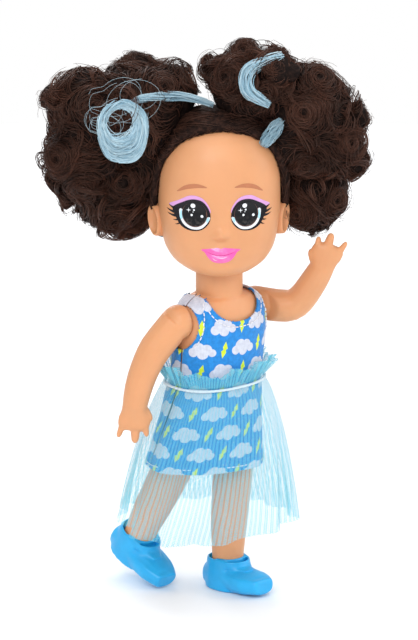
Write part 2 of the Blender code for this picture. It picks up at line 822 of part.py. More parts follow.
def arm_route(side, shares, flares, bends):
    """Points along the arm from the shoulder to the wrist, and the direction of the hand."""
    point = Vector((side * ARM_CAP_LENGTH, 0, 0))
    points = [point]
    direction = None
    for i, share in enumerate(shares):
        flare = math.radians(flares[i])
        bend = math.radians(bends[i])
        down = math.cos(flare)
        direction = Vector((side * math.sin(flare), -down * math.sin(bend), -down * math.cos(bend)))
        if i < len(shares) - 1:
            point = point + direction * share * ARM_LENGTH
            points.append(point)
    return points, direction


def finger_mesh(name, wrist, hand, across):
    """One finger as a tapered tube with a round tip."""
    sizes = [share * HAND_LENGTH for share in FINGER_SHARES[name]]
    root_along, root_across, tip_along, tip_across, half = sizes
    root = wrist + hand * root_along + across * root_across
    tip = wrist + hand * tip_along + across * tip_across
    route = [root.lerp(tip, place) for place in FINGER_PLACE_SHARES]
    widths = [half * taper for taper in FINGER_TAPER_SHARES]
    depths = [width * FINGER_THICKNESS_SHARE for width in widths]
    return tube_mesh(name, route, widths, depths, across, FINGER_SIDES)


def build_arm(name, side, axis, shares, flares, bends, thumb):
    """Soft arm with its snap peg, shoulder cap, bent tube, palm and fingers."""
    points, hand = arm_route(side, shares, flares, bends)
    wrist = points[-1]
    toward_thumb = Vector((side * thumb[0], thumb[1], thumb[2])).normalized()
    across = (toward_thumb - hand * hand.dot(toward_thumb)).normalized()
    route = smooth_route(points, 3)
    steps = np.linspace(0, len(ARM_RADII) - 1, len(route))
    widths = list(np.interp(steps, range(len(ARM_RADII)), ARM_RADII))
    depths = list(widths)
    for along, wide, deep in PALM_SECTION_SHARES:
        route.append(wrist + hand * along * HAND_LENGTH)
        widths.append(wide * PALM_HALF_WIDTH)
        depths.append(deep * PALM_HALF_THICKNESS)
    arm = add_object(name, tube_mesh(name, route, widths, depths, across, ARM_SIDES), axis, SKIN, 0.45)
    low_x, high_x = sorted((-side * ARM_LENGTH, side * ARM_CLEARANCE))
    low = (low_x, -ARM_LENGTH, -ARM_LENGTH)
    inner = block_mesh(name + "_inner", low, (high_x, ARM_LENGTH, ARM_LENGTH))
    apply_boolean(arm, add_object(inner.name, inner, axis))
    flange = (ARM_FLANGE_RADIUS, ARM_FLANGE_INSET, ARM_FLANGE_HEIGHT)
    cap = (ARM_CAP_RADIUS, ARM_DOME_LENGTH)
    disc = joint_disc(name + "_disc", side, cap, ARM_STEM_RADIUS, flange, axis)
    apply_boolean(arm, disc, "UNION")
    for finger in FINGER_SHARES:
        digit = add_object(f"{name}_{finger}", finger_mesh(finger, wrist, hand, across), axis)
        apply_boolean(arm, digit, "UNION")


def joint_disc(name, side, cap, stem_radius, flange, axis):
    """Domed disc that a limb turns on, with the stem and flange of its snap peg, as one solid."""
    cap_radius, cap_length = cap
    flange_radius, flange_inset, flange_height = flange
    profile = [
        (-flange_inset - flange_height, flange_radius),
        (-flange_inset, flange_radius),
        (-flange_inset, stem_radius),
        (FIT_GAP, stem_radius),
    ]
    for reach, share in DOME_SHARES:
        profile.append((FIT_GAP + reach * cap_length, share * cap_radius))
    rings = []
    for place, radius in profile:
        ring = []
        for i in range(DISC_SIDES):
            angle = math.tau * i / DISC_SIDES
            ring.append(Vector((side * place, radius * math.cos(angle), radius * math.sin(angle))))
        rings.append(ring)
    return add_object(name, mesh_from_rings(name, rings), axis)


def leg_sections(side, ease):
    """Sections of a leg below its hip, about the hip joint."""
    sections = []
    start = LEG_TOP_RADIUS * LEG_START_SHARE
    run = HIP_HEIGHT - LEG_END_HEIGHT - start
    for drop, width, depth, place, setback in LEG_SECTION_SHARES:
        half_width = width * THIGH_RADIUS + ease
        half_depth = depth * THIGH_RADIUS + ease
        centre_x = side * (place * LEG_CENTRE - PELVIS_HALF_WIDTH)
        height = -start - drop * run
        if drop == LEG_SECTION_SHARES[-1][0]:
            height -= ease
        centre_y = setback * ANKLE_SETBACK
        sections.append((height, half_width, half_depth, half_depth, centre_x, centre_y, 0))
    return sections


def foot_rings(side, ease, base, drop=0.0):
    """Rings of the foot from heel to toe, grown by an ease, its underside at a base height."""
    rings = []
    heel = ANKLE_SETBACK + HEEL_BEHIND_ANKLE
    centre_x = side * (LEG_CENTRE - PELVIS_HALF_WIDTH)
    last = FOOT_SECTION_SHARES[-1][0]
    for along, width, height in FOOT_SECTION_SHARES:
        out = ease if along == last else -ease if along == 0 else 0
        y = heel - along * FOOT_LENGTH - out
        spring = TOE_SPRING * max(0.0, along - TOE_SPRING_START) ** 2 / 0.2
        low = base + spring - drop
        high = base + height * INSTEP_HEIGHT + spring * 0.5 + ease
        half = (high - low) / 2
        ring = []
        for i in range(FOOT_SIDES):
            angle = math.tau * i / FOOT_SIDES
            x = centre_x + (width * FOOT_HALF_WIDTH + ease) * rounded_power(math.cos(angle), 2.5)
            ring.append(Vector((x, y, low + half + half * rounded_power(math.sin(angle), 2.5))))
        rings.append(ring)
    return rings


def foot_base():
    """Height of the bare foot's underside, measured from the hip joint."""
    return SOLE_THICKNESS + FIT_GAP - HIP_HEIGHT


def build_leg(name, side, axis):
    """Soft leg with its snap peg, hip disc, thigh, calf and foot."""
    leg = add_object(name, level_loft(name, leg_sections(side, 0), LEG_SIDES, 2.1), axis, SKIN, 0.45)
    foot_form = mesh_from_rings(name + "_foot", foot_rings(side, 0, foot_base()))
    foot = add_object(foot_form.name, foot_form, axis)
    apply_boolean(leg, foot, "UNION")
    reach = 2 * LEG_CENTRE - 2 * PELVIS_HALF_WIDTH
    flange = (LEG_FLANGE_RADIUS, TORSO_WALL + FIT_GAP, LEG_FLANGE_HEIGHT)
    disc = joint_disc(name + "_disc", side, (LEG_TOP_RADIUS, reach), LEG_STEM_RADIUS, flange, axis)
    apply_boolean(leg, disc, "UNION")


def collar_sections(side, ease, low, high):
    """Sections of a shoe's collar and strap around the ankle, between two heights."""
    centre_x = side * (LEG_CENTRE - PELVIS_HALF_WIDTH)
    shell = FIT_GAP + SHOE_WALL
    sections = []
    for share, draw in COLLAR_SECTION_SHARES:
        half_width = (FOOT_HALF_WIDTH + shell) * draw + ease
        back = (HEEL_BEHIND_ANKLE + shell) * draw + ease
        front = STRAP_REACH * draw + ease
        height = low + share * (high - low)
        sections.append((height, half_width, front, back, centre_x, ANKLE_SETBACK, 0))
    return sections


def build_shoe(name, side, axis):
    """Soft shoe with a flat sole, a collar, a strap and the window in front of the strap."""
    shell = FIT_GAP + SHOE_WALL
    sole = -HIP_HEIGHT
    top = sole + COLLAR_HEIGHT
    drop = SOLE_THICKNESS + FIT_GAP + WELT_REACH
    outer = mesh_from_rings(name, foot_rings(side, shell, foot_base(), drop))
    shoe = add_object(name, outer, axis, SHOE_BLUE, 0.4)
    collar_rows = collar_sections(side, 0, sole, top)
    collar = level_loft(name + "_collar", collar_rows, SHOE_SIDES, SHOE_POWER)
    apply_boolean(shoe, add_object(collar.name, collar, axis), "UNION")
    foot_room = mesh_from_rings(name + "_foot_room", foot_rings(side, FIT_GAP, foot_base(), FIT_GAP))
    leg_room = level_loft(name + "_leg_room", leg_sections(side, FIT_GAP), LEG_SIDES, 2.1)
    inside_rows = collar_sections(side, -COLLAR_WALL, sole + INSTEP_HEIGHT, top + CUT_OVERRUN)
    inside = level_loft(name + "_inside", inside_rows, SHOE_SIDES, SHOE_POWER)
    for mesh in (foot_room, leg_room, inside):
        apply_boolean(shoe, add_object(mesh.name, mesh, axis))
    window_top = top - STRAP_WIDTH
    reach = 2 * FOOT_HALF_WIDTH
    centre_x = side * (LEG_CENTRE - PELVIS_HALF_WIDTH)
    low = (centre_x - reach, ANKLE_SETBACK - 2 * STRAP_REACH, window_top - WINDOW_HEIGHT)
    high = (centre_x + reach, ANKLE_SETBACK - STRAP_REACH / 2, window_top)
    apply_boolean(shoe, add_object(name + "_window", block_mesh(name + "_window", low, high), axis))
    floor = HIP_HEIGHT
    ground = block_mesh(name + "_ground", (-floor, -floor, sole - CUT_OVERRUN), (floor, floor, sole))
    apply_boolean(shoe, add_object(ground.name, ground, axis))


def torso_at(height):
    """Half width, half depth and setback of the bare torso at one height."""
    sections = torso_sections()
    heights = [section[0] for section in sections]
    return [float(np.interp(height, heights, [section[k] for section in sections])) for k in (1, 2, 5)]


def dress_sections(ease):
    """Sections of the dress from its hem to the neck, moved out by an ease."""
    waist = CROTCH_HEIGHT + DRESS_WAIST_SHARE * (SHOULDER_TOP - CROTCH_HEIGHT)
    waist_width, waist_depth, waist_setback = torso_at(waist)
    rows = []
    for i in range(6):
        share = i / 6
        height = HEM_HEIGHT + share * (waist - HEM_HEIGHT)
        width, depth, _ = torso_at(height)
        spread = HEM_HALF_WIDTH + share * (waist_width + CLOTH_EASE - HEM_HALF_WIDTH)
        swell = HEM_HALF_DEPTH + share * (waist_depth + CLOTH_EASE - HEM_HALF_DEPTH)
        width = max(width + CLOTH_EASE, spread)
        depth = max(depth + CLOTH_EASE, swell)
        setback = HEM_SETBACK + share * (waist_setback - HEM_SETBACK)
        turn = HEM_TURN * (1 - share) ** 1.3
        rows.append((height, width + ease, depth + ease, depth + ease, 0, setback, turn))
    upper = [section for section in torso_sections() if section[0] > waist]
    neck = (SHOULDER_TOP, NECK_RADIUS, NECK_RADIUS, NECK_RADIUS, 0, 0, 0)
    return rows + eased(upper + [neck], CLOTH_EASE + ease)


def dress_ring_point(section, angle, ease=0.0):
    """Point of one section of the dress at an angle around the body."""
    height, width, front, back, centre_x, centre_y, turn = section
    across = (width + ease) * rounded_power(math.cos(angle), TORSO_POWER)
    along = rounded_power(math.sin(angle), TORSO_POWER)
    along *= (back + ease) if along > 0 else (front + ease)
    x = centre_x + across * math.cos(turn) - along * math.sin(turn)
    y = centre_y + across * math.sin(turn) + along * math.cos(turn)
    return Vector((x, y, height))


def sheet_object(name, rows, closed, thickness, parent, colour):
    """Open sheet from rows of points, thickened outwards by Solidify."""
    form = bmesh.new()
    grid = [[form.verts.new(point) for point in row] for row in rows]
    count = len(grid[0])
    for low, high in zip(grid, grid[1:]):
        for i in range(count if closed else count - 1):
            j = (i + 1) % count
            form.faces.new((low[i], low[j], high[j], high[i]))
    mesh = bpy.data.meshes.new(name)
    form.to_mesh(mesh)
    form.free()
    mesh.shade_smooth()
    obj = add_object(name, mesh, parent, colour, 0.8)
    solid = obj.modifiers.new("thickness", "SOLIDIFY")
    solid.thickness = thickness
    solid.offset = 1.0
    return obj


def closure_lift(angle):
    """How far the left back panel stands out so that it passes over the right one."""
    full = CLOTH_THICKNESS + TAPE_THICKNESS + 2.6 * FIT_GAP
    run = CLOSURE_LIFT_END - CLOSURE_LIFT_START
    share = min(max((angle - CLOSURE_LIFT_START) / run, 0.0), 1.0)
    return full * share * share * (3 - 2 * share)


def closure_bulge(angle):
    """How far whatever passes around the closure has to stand out."""
    lap_end = math.pi / 2 + CLOSURE_OVERLAP / TORSO_HALF_DEPTH / 2 + CLOSURE_LAP_EASE
    if angle <= lap_end:
        return closure_lift(angle)
    share = min((angle - lap_end) / CLOSURE_FALL, 1.0)
    return closure_lift(lap_end) * (1 - share * share * (3 - 2 * share))


def neckline_cutter(name, drop, y_from, y_to, root):
    """Scoop of the neckline through the front or the back of the dress."""
    rings = []
    for y in (y_from, y_to):
        ring = []
        for i in range(28):
            angle = math.tau * i / 28
            x = NECKLINE_HALF_WIDTH * rounded_power(math.cos(angle), 2.4)
            ring.append(Vector((x, y, SHOULDER_TOP + drop * rounded_power(math.sin(angle), 2.4))))
        rings.append(ring)
    return add_object(name, mesh_from_rings(name, rings), root)


def armhole_cutter(name, side, root):
    """Oval armhole through the side of the dress."""
    rings = []
    centre = SHOULDER_TOP - ARMHOLE_DROP
    for x in (ARMHOLE_REACH, TORSO_HALF_WIDTH + 2 * CUT_OVERRUN):
        ring = []
        for i in range(24):
            angle = math.tau * i / 24
            y = SHOULDER_SETBACK + ARMHOLE_HALF_DEPTH * math.cos(angle)
            ring.append(Vector((side * x, y, centre + ARMHOLE_HALF_HEIGHT * math.sin(angle))))
        rings.append(ring)
    return add_object(name, mesh_from_rings(name, rings), root)


def build_dress(root):
    """Front and back panels of the knit dress with neckline and armholes cut in."""
    reach = 2 * TORSO_HALF_WIDTH
    cutters = [
        neckline_cutter("neckline_front", NECKLINE_FRONT_DROP, -reach, SHOULDER_SETBACK, root),
        neckline_cutter("neckline_back", NECKLINE_BACK_DROP, SHOULDER_SETBACK - FIT_GAP, reach, root),
        armhole_cutter("armhole_left", 1, root),
        armhole_cutter("armhole_right", -1, root),
    ]
    seam = FIT_GAP / TORSO_HALF_WIDTH
    overlap = CLOSURE_OVERLAP / TORSO_HALF_DEPTH
    half_pi = math.pi / 2
    panels = (
        ("dress_front", math.pi + seam, math.tau - seam, 12, False),
        ("dress_back_left", seam, half_pi + overlap / 2, 7, True),
        ("dress_back_right", half_pi - overlap / 2, math.pi - seam, 7, False),
    )
    for name, start, end, steps, over in panels:
        rows = []
        for section in dress_sections(0):
            row = []
            for i in range(steps + 1):
                angle = start + (end - start) * i / steps
                row.append(dress_ring_point(section, angle, closure_lift(angle) if over else 0.0))
            rows.append(row)
        panel = sheet_object(name, rows, False, CLOTH_THICKNESS, root, DRESS_BLUE)
        for cutter in cutters:
            apply_boolean(panel, cutter)
    build_closure_tape(root)


def build_closure_tape(root):
    """Strip of hook-and-loop tape between the lapped back panels."""
    sections = dress_sections(CLOTH_THICKNESS + 1.2 * FIT_GAP)
    half = TAPE_WIDTH / TORSO_HALF_DEPTH / 2
    rows = []
    for section in sections[2:-3]:
        rows.append([dress_ring_point(section, math.pi / 2 + half * k) for k in (-1, 0, 1)])
    sheet_object("closure_tape", rows, False, TAPE_THICKNESS, root, THREAD_WHITE)


def dress_face_y(x, height, sections, front):
    """Place in depth of the front or back face of the dress at a point of the front view."""
    heights = [section[0] for section in sections]
    width = float(np.interp(height, heights, [section[1] for section in sections]))
    depth = float(np.interp(height, heights, [section[2] for section in sections]))
    centre = float(np.interp(height, heights, [section[5] for section in sections]))
    share = min(abs(x) / width, 0.98)
    reach = depth * (1 - share**TORSO_POWER) ** (1 / TORSO_POWER)
    return centre - reach if front else centre + reach


def stitch_mesh(name, route):
    """Round thread along a route."""
    radii = [STITCH_RADIUS] * len(route)
    return tube_mesh(name, route, radii, radii, Vector((0.3, 0.2, 1)), 6)


def build_stitches(root):
    """White topstitching along the neckline, the armholes and the hem."""
    sections = dress_sections(CLOTH_THICKNESS + 1.5 * FIT_GAP + STITCH_RADIUS)
    neckline = []
    for i in range(17):
        angle = math.radians(-165 + 150 * i / 16)
        x = (NECKLINE_HALF_WIDTH + STITCH_INSET) * rounded_power(math.cos(angle), 2.4)
        z = SHOULDER_TOP + (NECKLINE_FRONT_DROP + STITCH_INSET) * rounded_power(math.sin(angle), 2.4)
        neckline.append(Vector((x, dress_face_y(x, z, sections, True), z)))
    add_object("neckline_stitch", stitch_mesh("neckline_stitch", neckline), root, THREAD_WHITE, 0.7)
    for side, name in ((1, "armhole_stitch_left"), (-1, "armhole_stitch_right")):
        route = []
        for i in range(9):
            angle = math.radians(135 + 90 * i / 8)
            y = SHOULDER_SETBACK + (ARMHOLE_HALF_DEPTH + STITCH_INSET) * math.cos(angle)
            z = SHOULDER_TOP - ARMHOLE_DROP + (ARMHOLE_HALF_HEIGHT + STITCH_INSET) * math.sin(angle)
            route.append(Vector((side * dress_side_x(y, z, sections), y, z)))
        add_object(name, stitch_mesh(name, route), root, THREAD_WHITE, 0.7)
    hem = []
    section = sections[0]
    lifted = (section[0] + STITCH_INSET, *section[1:])
    for i in range(31):
        angle = math.radians(112 + 290 * i / 30)
        hem.append(dress_ring_point(lifted, angle))
    add_object("hem_stitch", stitch_mesh("hem_stitch", hem), root, THREAD_WHITE, 0.7)


def dress_side_x(y, height, sections):
    """Place across of the side face of the dress at a depth and a height."""
    heights = [section[0] for section in sections]
    width = float(np.interp(height, heights, [section[1] for section in sections]))
    depth = float(np.interp(height, heights, [section[2] for section in sections]))
    centre = float(np.interp(height, heights, [section[5] for section in sections]))
    share = min(abs(y - centre) / depth, 0.98)
    return width * (1 - share**TORSO_POWER) ** (1 / TORSO_POWER)


def waist_section(ease):
    """Section of the dress at the elastic, moved out by an ease."""
    sections = dress_sections(ease)
    heights = [section[0] for section in sections]
    columns = [[section[k] for section in sections] for k in range(1, 7)]
    return (WAIST_HEIGHT, *[float(np.interp(WAIST_HEIGHT, heights, column)) for column in columns])


def blended_section(low, high, share, power):
    """Section between two others, with the spread of the cloth bent by a power."""
    spread = share**power
    mixed = [a + (b - a) * spread for a, b in zip(low, high)]
    mixed[0] = low[0] + (high[0] - low[0]) * share
    mixed[5] = low[5] + (high[5] - low[5]) * share
    mixed[6] = low[6] + (high[6] - low[6]) * share
    return tuple(mixed)


def folded_rows(start, end, steps, power, folds, depth, points, relief, sharpness=1.0):
    """Rows of a gathered cloth whose folds deepen away from its gathered edge."""
    rows = []
    for i in range(steps + 1):
        share = i / steps
        section = blended_section(start, end, share, power)
        row = []
        for k in range(points):
            angle = math.tau * k / points
            wave = math.cos(folds * angle + 0.5 * math.sin(2 * angle)) + 0.35 * math.cos(3 * angle + 1.0)
            bulge = closure_bulge(angle) * (1 - share * relief)
            out = depth * share**sharpness * wave * 0.74 + bulge
            row.append(dress_ring_point(section, angle, out))
        rows.append(row)
    return rows


def build_skirt(root):
    """Gathered net overskirt with its ruffle header and waist elastic."""
    inner = CLOTH_THICKNESS + FIT_GAP
    waist = waist_section(inner)
    hem = (
        SKIRT_HEM_HEIGHT,
        SKIRT_HEM_HALF_WIDTH,
        SKIRT_HEM_HALF_DEPTH,
        SKIRT_HEM_HALF_DEPTH,
        0,
        SKIRT_HEM_SETBACK,
        SKIRT_HEM_TURN,
    )
    below = (WAIST_HEIGHT - FIT_GAP, *waist[1:])
    points = SKIRT_FOLDS * 6
    rows = folded_rows(below, hem, 5, SKIRT_FULLNESS, SKIRT_FOLDS, SKIRT_FOLD_DEPTH, points, 1.0)
    sheet_object("skirt_net", list(reversed(rows)), True, NET_THICKNESS, root, NET_CYAN)
    above = (WAIST_HEIGHT + FIT_GAP, *waist[1:])
    crest = waist_section(inner + RUFFLE_FLARE)
    crest = (WAIST_HEIGHT + RUFFLE_HEIGHT, *crest[1:])
    points = RUFFLE_FOLDS * 4
    rows = folded_rows(above, crest, 2, 1.0, RUFFLE_FOLDS, RUFFLE_FOLD_DEPTH, points, 0.0)
    sheet_object("skirt_ruffle", rows, True, NET_THICKNESS, root, NET_CYAN)
    ring = waist_section(inner + NET_THICKNESS + 1.8 * FIT_GAP + ELASTIC_RADIUS)
    form = bmesh.new()
    loops = []
    count = 32
    for k in range(count):
        angle = math.tau * k / count
        centre = dress_ring_point(ring, angle, closure_bulge(angle))
        outward = dress_ring_point(ring, angle, closure_bulge(angle) + ELASTIC_RADIUS) - centre
        loop = []
        for m in range(6):
            around = math.tau * m / 6
            lift = Vector((0, 0, ELASTIC_RADIUS * math.sin(around)))
            loop.append(form.verts.new(centre + outward * math.cos(around) + lift))
        loops.append(loop)
    for k in range(count):
        for m in range(6):
            j = (k + 1) % count
            n = (m + 1) % 6
            form.faces.new((loops[k][m], loops[j][m], loops[j][n], loops[k][n]))
    add_object("waist_elastic", finish_mesh("waist_elastic", form), root, THREAD_WHITE, 0.6)


def centre_on_floor(root):
    """Move the whole doll so that its box stands centred over the origin."""
    bpy.context.view_layer.update()
    graph = bpy.context.evaluated_depsgraph_get()
    lows, highs = [], []
    for obj in PARTS.objects:
        shown = obj.evaluated_get(graph)
        mesh = shown.to_mesh()
        points = np.empty(len(mesh.vertices) * 3, dtype=np.float32)
        mesh.vertices.foreach_get("co", points)
        shown.to_mesh_clear()
        points = points.reshape(-1, 3).astype(float)
        turned = points @ np.array(obj.matrix_world.to_3x3()).T
        placed = turned + np.array(obj.matrix_world.translation)
        lows.append(placed.min(axis=0))
        highs.append(placed.max(axis=0))
    low = np.min(lows, axis=0)
    high = np.max(highs, axis=0)
    root.location = (-(low[0] + high[0]) / 2, -(low[1] + high[1]) / 2, -low[2])
    bpy.context.view_layer.update()


def build_doll():
    """Build every part on its joint and stand the doll on the floor."""
    root = add_empty("doll_root", (0, 0, 0))
    build_torso(root)
    build_neck_knob(root)
    head_axis = add_empty("head_axis", (0, 0, head_base()), root)
    head_axis.rotation_euler.z = HEAD_TURN
    build_head_shell(head_axis)
    build_hair(head_axis)
    for name, side, lift, form in ARMS:
        place = (side * SHOULDER_SEAT, SHOULDER_SETBACK, shoulder_height())
        axis = add_empty(name + "_axis", place, root)
        axis.rotation_euler.x = -lift
        build_arm(name, side, axis, *form)
    for name, side, lift in (("left", 1, LEG_LEFT_RAISE), ("right", -1, LEG_RIGHT_RAISE)):
        axis = add_empty(f"leg_{name}_axis", (side * PELVIS_HALF_WIDTH, HIP_SETBACK, HIP_HEIGHT), root)
        axis.rotation_euler.x = -lift
        build_leg("leg_" + name, side, axis)
        build_shoe("shoe_" + name, side, axis)
    build_dress(root)
    build_stitches(root)
    build_skirt(root)
    centre_on_floor(root)


build_doll()
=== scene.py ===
"""Looks of the small curly-haired play doll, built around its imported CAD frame."""

import json
import math

import bmesh
import bpy
import numpy as np
from mathutils import Matrix, Vector
from mathutils.bvhtree import BVHTree
from mathutils.kdtree import KDTree


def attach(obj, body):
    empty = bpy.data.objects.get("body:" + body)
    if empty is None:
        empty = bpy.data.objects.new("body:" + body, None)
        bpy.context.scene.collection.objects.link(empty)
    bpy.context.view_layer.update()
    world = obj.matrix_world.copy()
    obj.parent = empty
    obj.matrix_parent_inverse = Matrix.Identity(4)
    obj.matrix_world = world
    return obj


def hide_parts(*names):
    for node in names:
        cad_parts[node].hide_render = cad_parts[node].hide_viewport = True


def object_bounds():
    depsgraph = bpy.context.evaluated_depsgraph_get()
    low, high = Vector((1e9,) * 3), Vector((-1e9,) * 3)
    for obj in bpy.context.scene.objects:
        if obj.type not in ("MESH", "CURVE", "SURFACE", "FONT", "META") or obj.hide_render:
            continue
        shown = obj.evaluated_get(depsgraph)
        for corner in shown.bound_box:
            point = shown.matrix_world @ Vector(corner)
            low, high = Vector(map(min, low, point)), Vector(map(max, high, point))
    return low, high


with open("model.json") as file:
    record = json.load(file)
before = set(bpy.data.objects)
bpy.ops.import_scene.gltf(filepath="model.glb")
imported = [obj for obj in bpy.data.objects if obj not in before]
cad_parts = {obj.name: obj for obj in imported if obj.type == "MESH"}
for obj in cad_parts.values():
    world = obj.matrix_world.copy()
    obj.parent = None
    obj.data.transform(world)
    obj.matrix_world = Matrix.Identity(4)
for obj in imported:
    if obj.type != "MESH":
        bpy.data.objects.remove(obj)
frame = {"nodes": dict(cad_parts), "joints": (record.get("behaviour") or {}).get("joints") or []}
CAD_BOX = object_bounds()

RNG = np.random.default_rng(7)
JOINTS = {joint["name"]: joint for joint in frame["joints"]}
HEAD_BASE = np.array(JOINTS["head_turn"]["pos_m"])
HEAD_TURN = math.radians(-38)
MM = 0.001
NECK_TOP_GAP = 0.0004
NECK_TOP = 0.0822
# The doll's own origin, midway between its hips on the floor, from which the photograph was measured
ORIGIN = HEAD_BASE - np.array((0, 0, NECK_TOP + NECK_TOP_GAP))


# Shader helpers
class Shader:
    """Short way to build a node material."""

    def __init__(self, name, roughness=0.5, colour=(0.8, 0.8, 0.8)):
        self.material = bpy.data.materials.new(name)
        self.material.use_nodes = True
        self.tree = self.material.node_tree
        self.bsdf = self.tree.nodes["Principled BSDF"]
        self.set(Roughness=roughness, Base_Color=colour)

    def set(self, **inputs):
        """Set or link inputs of the Principled shader."""
        for name, value in inputs.items():
            self.put(self.bsdf.inputs[name.replace("_", " ")], value)

    def put(self, socket, value):
        if isinstance(value, bpy.types.NodeSocket):
            self.tree.links.new(value, socket)
        elif isinstance(value, (tuple, list)):
            length = len(socket.default_value)
            socket.default_value = (*value, 1.0)[:length] if len(value) < length else value
        else:
            socket.default_value = value

    def node(self, kind, out=0, settings=None, **inputs):
        """Add a node; inputs by name, or by number as i0, i1."""
        made = self.tree.nodes.new("ShaderNode" + kind)
        for key, value in (settings or {}).items():
            setattr(made, key, value)
        for key, value in inputs.items():
            index = int(key[1:]) if key[0] == "i" and key[1:].isdigit() else key.replace("_", " ")
            self.put(made.inputs[index], value)
        return made.outputs[out]

    def math(self, operation, a, b=0.0, c=0.0):
        return self.node("Math", settings={"operation": operation}, i0=a, i1=b, i2=c)

    def mix(self, share, a, b):
        """Mix two colours."""
        return self.node("Mix", out=2, settings={"data_type": "RGBA"}, i0=share, i6=a, i7=b)

    def ramp(self, value, low, high, to_low=0.0, to_high=1.0):
        """Map a value smoothly from one range to another."""
        settings = {"interpolation_type": "SMOOTHSTEP"}
        return self.node("MapRange", settings=settings, i0=value, i1=low, i2=high, i3=to_low, i4=to_high)

    def noise(self, scale, detail=3.0, vector=None, roughness=0.55):
        vector = vector or self.place()
        return self.node("TexNoise", Scale=scale, Detail=detail, Roughness=roughness, Vector=vector)

    def mottle(self, scale, detail, low, high, dark, bright):
        """Base colour that wanders between two tones."""
        tone = self.ramp(self.noise(scale, detail), low, high)
        self.set(Base_Color=self.mix(tone, dark, bright))

    def place(self):
        """The point on the object, in metres."""
        return self.node("TexCoord", out=3)

    def split(self, vector):
        """Sockets for the parts of a vector."""
        return self.node("SeparateXYZ", i0=vector).node.outputs

    def flat_cloth(self):
        """The point on the flat cloth, in metres."""
        return self.node("Attribute", out=1, settings={"attribute_name": "cloth_flat"})

    def bump(self, height, strength, distance):
        self.set(Normal=self.node("Bump", Strength=strength, Distance=distance, Height=height))


def vinyl_material(name, colour, roughness=0.46):
    """Soft painted vinyl: even tone with faint mottling, a little light under the surface and fine pores."""
    shader = Shader(name, roughness)
    shader.mottle(90.0, 4.0, 0.3, 0.7, tuple(c * 0.93 for c in colour), colour)
    wear = shader.ramp(shader.noise(500.0, 2.0), 0.2, 0.8, roughness - 0.05, roughness + 0.07)
    shader.set(Roughness=wear, Specular_IOR_Level=0.42)
    shader.set(Subsurface_Weight=0.10, Subsurface_Radius=(0.9, 0.35, 0.2), Subsurface_Scale=0.0012)
    shader.bump(shader.noise(2600.0, 2.0), 0.05, 0.00008)
    return shader.material


def paint_material(name, colour, roughness=0.35):
    """Thin printed paint on the vinyl face."""
    shader = Shader(name, roughness)
    shader.set(Specular_IOR_Level=0.22)
    shader.mottle(900.0, 2.0, 0.3, 0.7, tuple(c * 0.94 for c in colour), colour)
    shader.bump(shader.noise(2600.0, 2.0), 0.03, 0.00005)
    return shader.material


# Mesh helpers
def linked(name, data):
    """A new object in the scene that holds a mesh, light or camera."""
    obj = bpy.data.objects.new(name, data)
    bpy.context.scene.collection.objects.link(obj)
    return obj


def carried(obj, body, *nodes):
    """Let a piece ride on a body and stand for CAD nodes."""
    if nodes:
        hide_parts(*nodes)
    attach(obj, body)
    return obj


def mesh_object(name, points, faces, material, smooth=True):
    """Make an object from points in metres and faces."""
    mesh = bpy.data.meshes.new(name)
    mesh.from_pydata(np.asarray(points, float).tolist(), [], [list(map(int, face)) for face in faces])
    mesh.validate()
    if smooth:
        mesh.shade_smooth()
    mesh.materials.append(material)
    return linked(name, mesh)


def grid_faces(rows, count, closed=True, capped=False):
    """Quads between rows of a grid, with the first and last row closed where it is capped."""
    faces = []
    for row in range(rows - 1):
        a = row * count
        for i in range(count if closed else count - 1):
            j = (i + 1) % count
            faces.append((a + i, a + j, a + count + j, a + count + i))
    if capped:
        faces.append(tuple(range(count - 1, -1, -1)))
        faces.append(tuple(range((rows - 1) * count, rows * count)))
    return faces


def rounded(value, power):
    """Superellipse's sine or cosine."""
    return np.sign(value) * np.abs(value) ** (2.0 / power)


def span(a, b, c, d, steps):
    """Points of a smooth curve between b and c, of four points in a row."""
    bend, twist = 2 * a - 5 * b + 4 * c - d, 3 * b - a - 3 * c + d
    return [0.5 * (2 * b + (c - a) * t + bend * t**2 + twist * t**3) for t in np.linspace(0, 1, steps, endpoint=False)]


def smooth_curve(points, count):
    """Resample a polyline as a smooth curve with even steps."""
    points = np.asarray(points, float)
    padded = np.vstack((2 * points[0] - points[1], points, 2 * points[-1] - points[-2]))
    dense = [point for i in range(len(padded) - 3) for point in span(*padded[i : i + 4], 12)]
    dense = np.array((*dense, points[-1]))
    lengths = np.concatenate(([0], np.cumsum(np.linalg.norm(np.diff(dense, axis=0), axis=1))))
    steps = np.linspace(0, lengths[-1], count)
    return np.stack([np.interp(steps, lengths, dense[:, k]) for k in range(3)], 1)


def hermite(table, steps):
    """Monotone cubic interpolation of every column of a table."""
    x = table[:, 0]
    out = [steps]
    for k in range(1, table.shape[1]):
        y = table[:, k]
        slopes = np.diff(y) / np.diff(x)
        product = slopes[:-1] * slopes[1:]
        inner = np.where(product > 0, 2 * product / (slopes[:-1] + slopes[1:] + 1e-12), 0)
        tangents = np.concatenate(([slopes[0]], inner, [slopes[-1]]))
        index = np.clip(np.searchsorted(x, steps, side="right") - 1, 0, len(x) - 2)
        h = x[index + 1] - x[index]
        t = np.clip((steps - x[index]) / h, 0, 1)
        out.append(
            (2 * t**3 - 3 * t**2 + 1) * y[index]
            + (t**3 - 2 * t**2 + t) * h * tangents[index]
            + (-2 * t**3 + 3 * t**2) * y[index + 1]
            + (t**3 - t**2) * h * tangents[index + 1]
        )
    return np.stack(out, 1)


def bump_at(x, z, centre_x, centre_z, width, height):
    """Smooth hill with value 1 at its centre."""
    return np.exp(-(((x - centre_x) / width) ** 2) - ((z - centre_z) / height) ** 2)


# Head
HEAD_HEIGHT = 0.0378
HEAD_HALF_WIDTH = 0.0146
HEAD_FRONT = 0.0132
HEAD_BACK = 0.0150
HEAD_POWER = 2.25
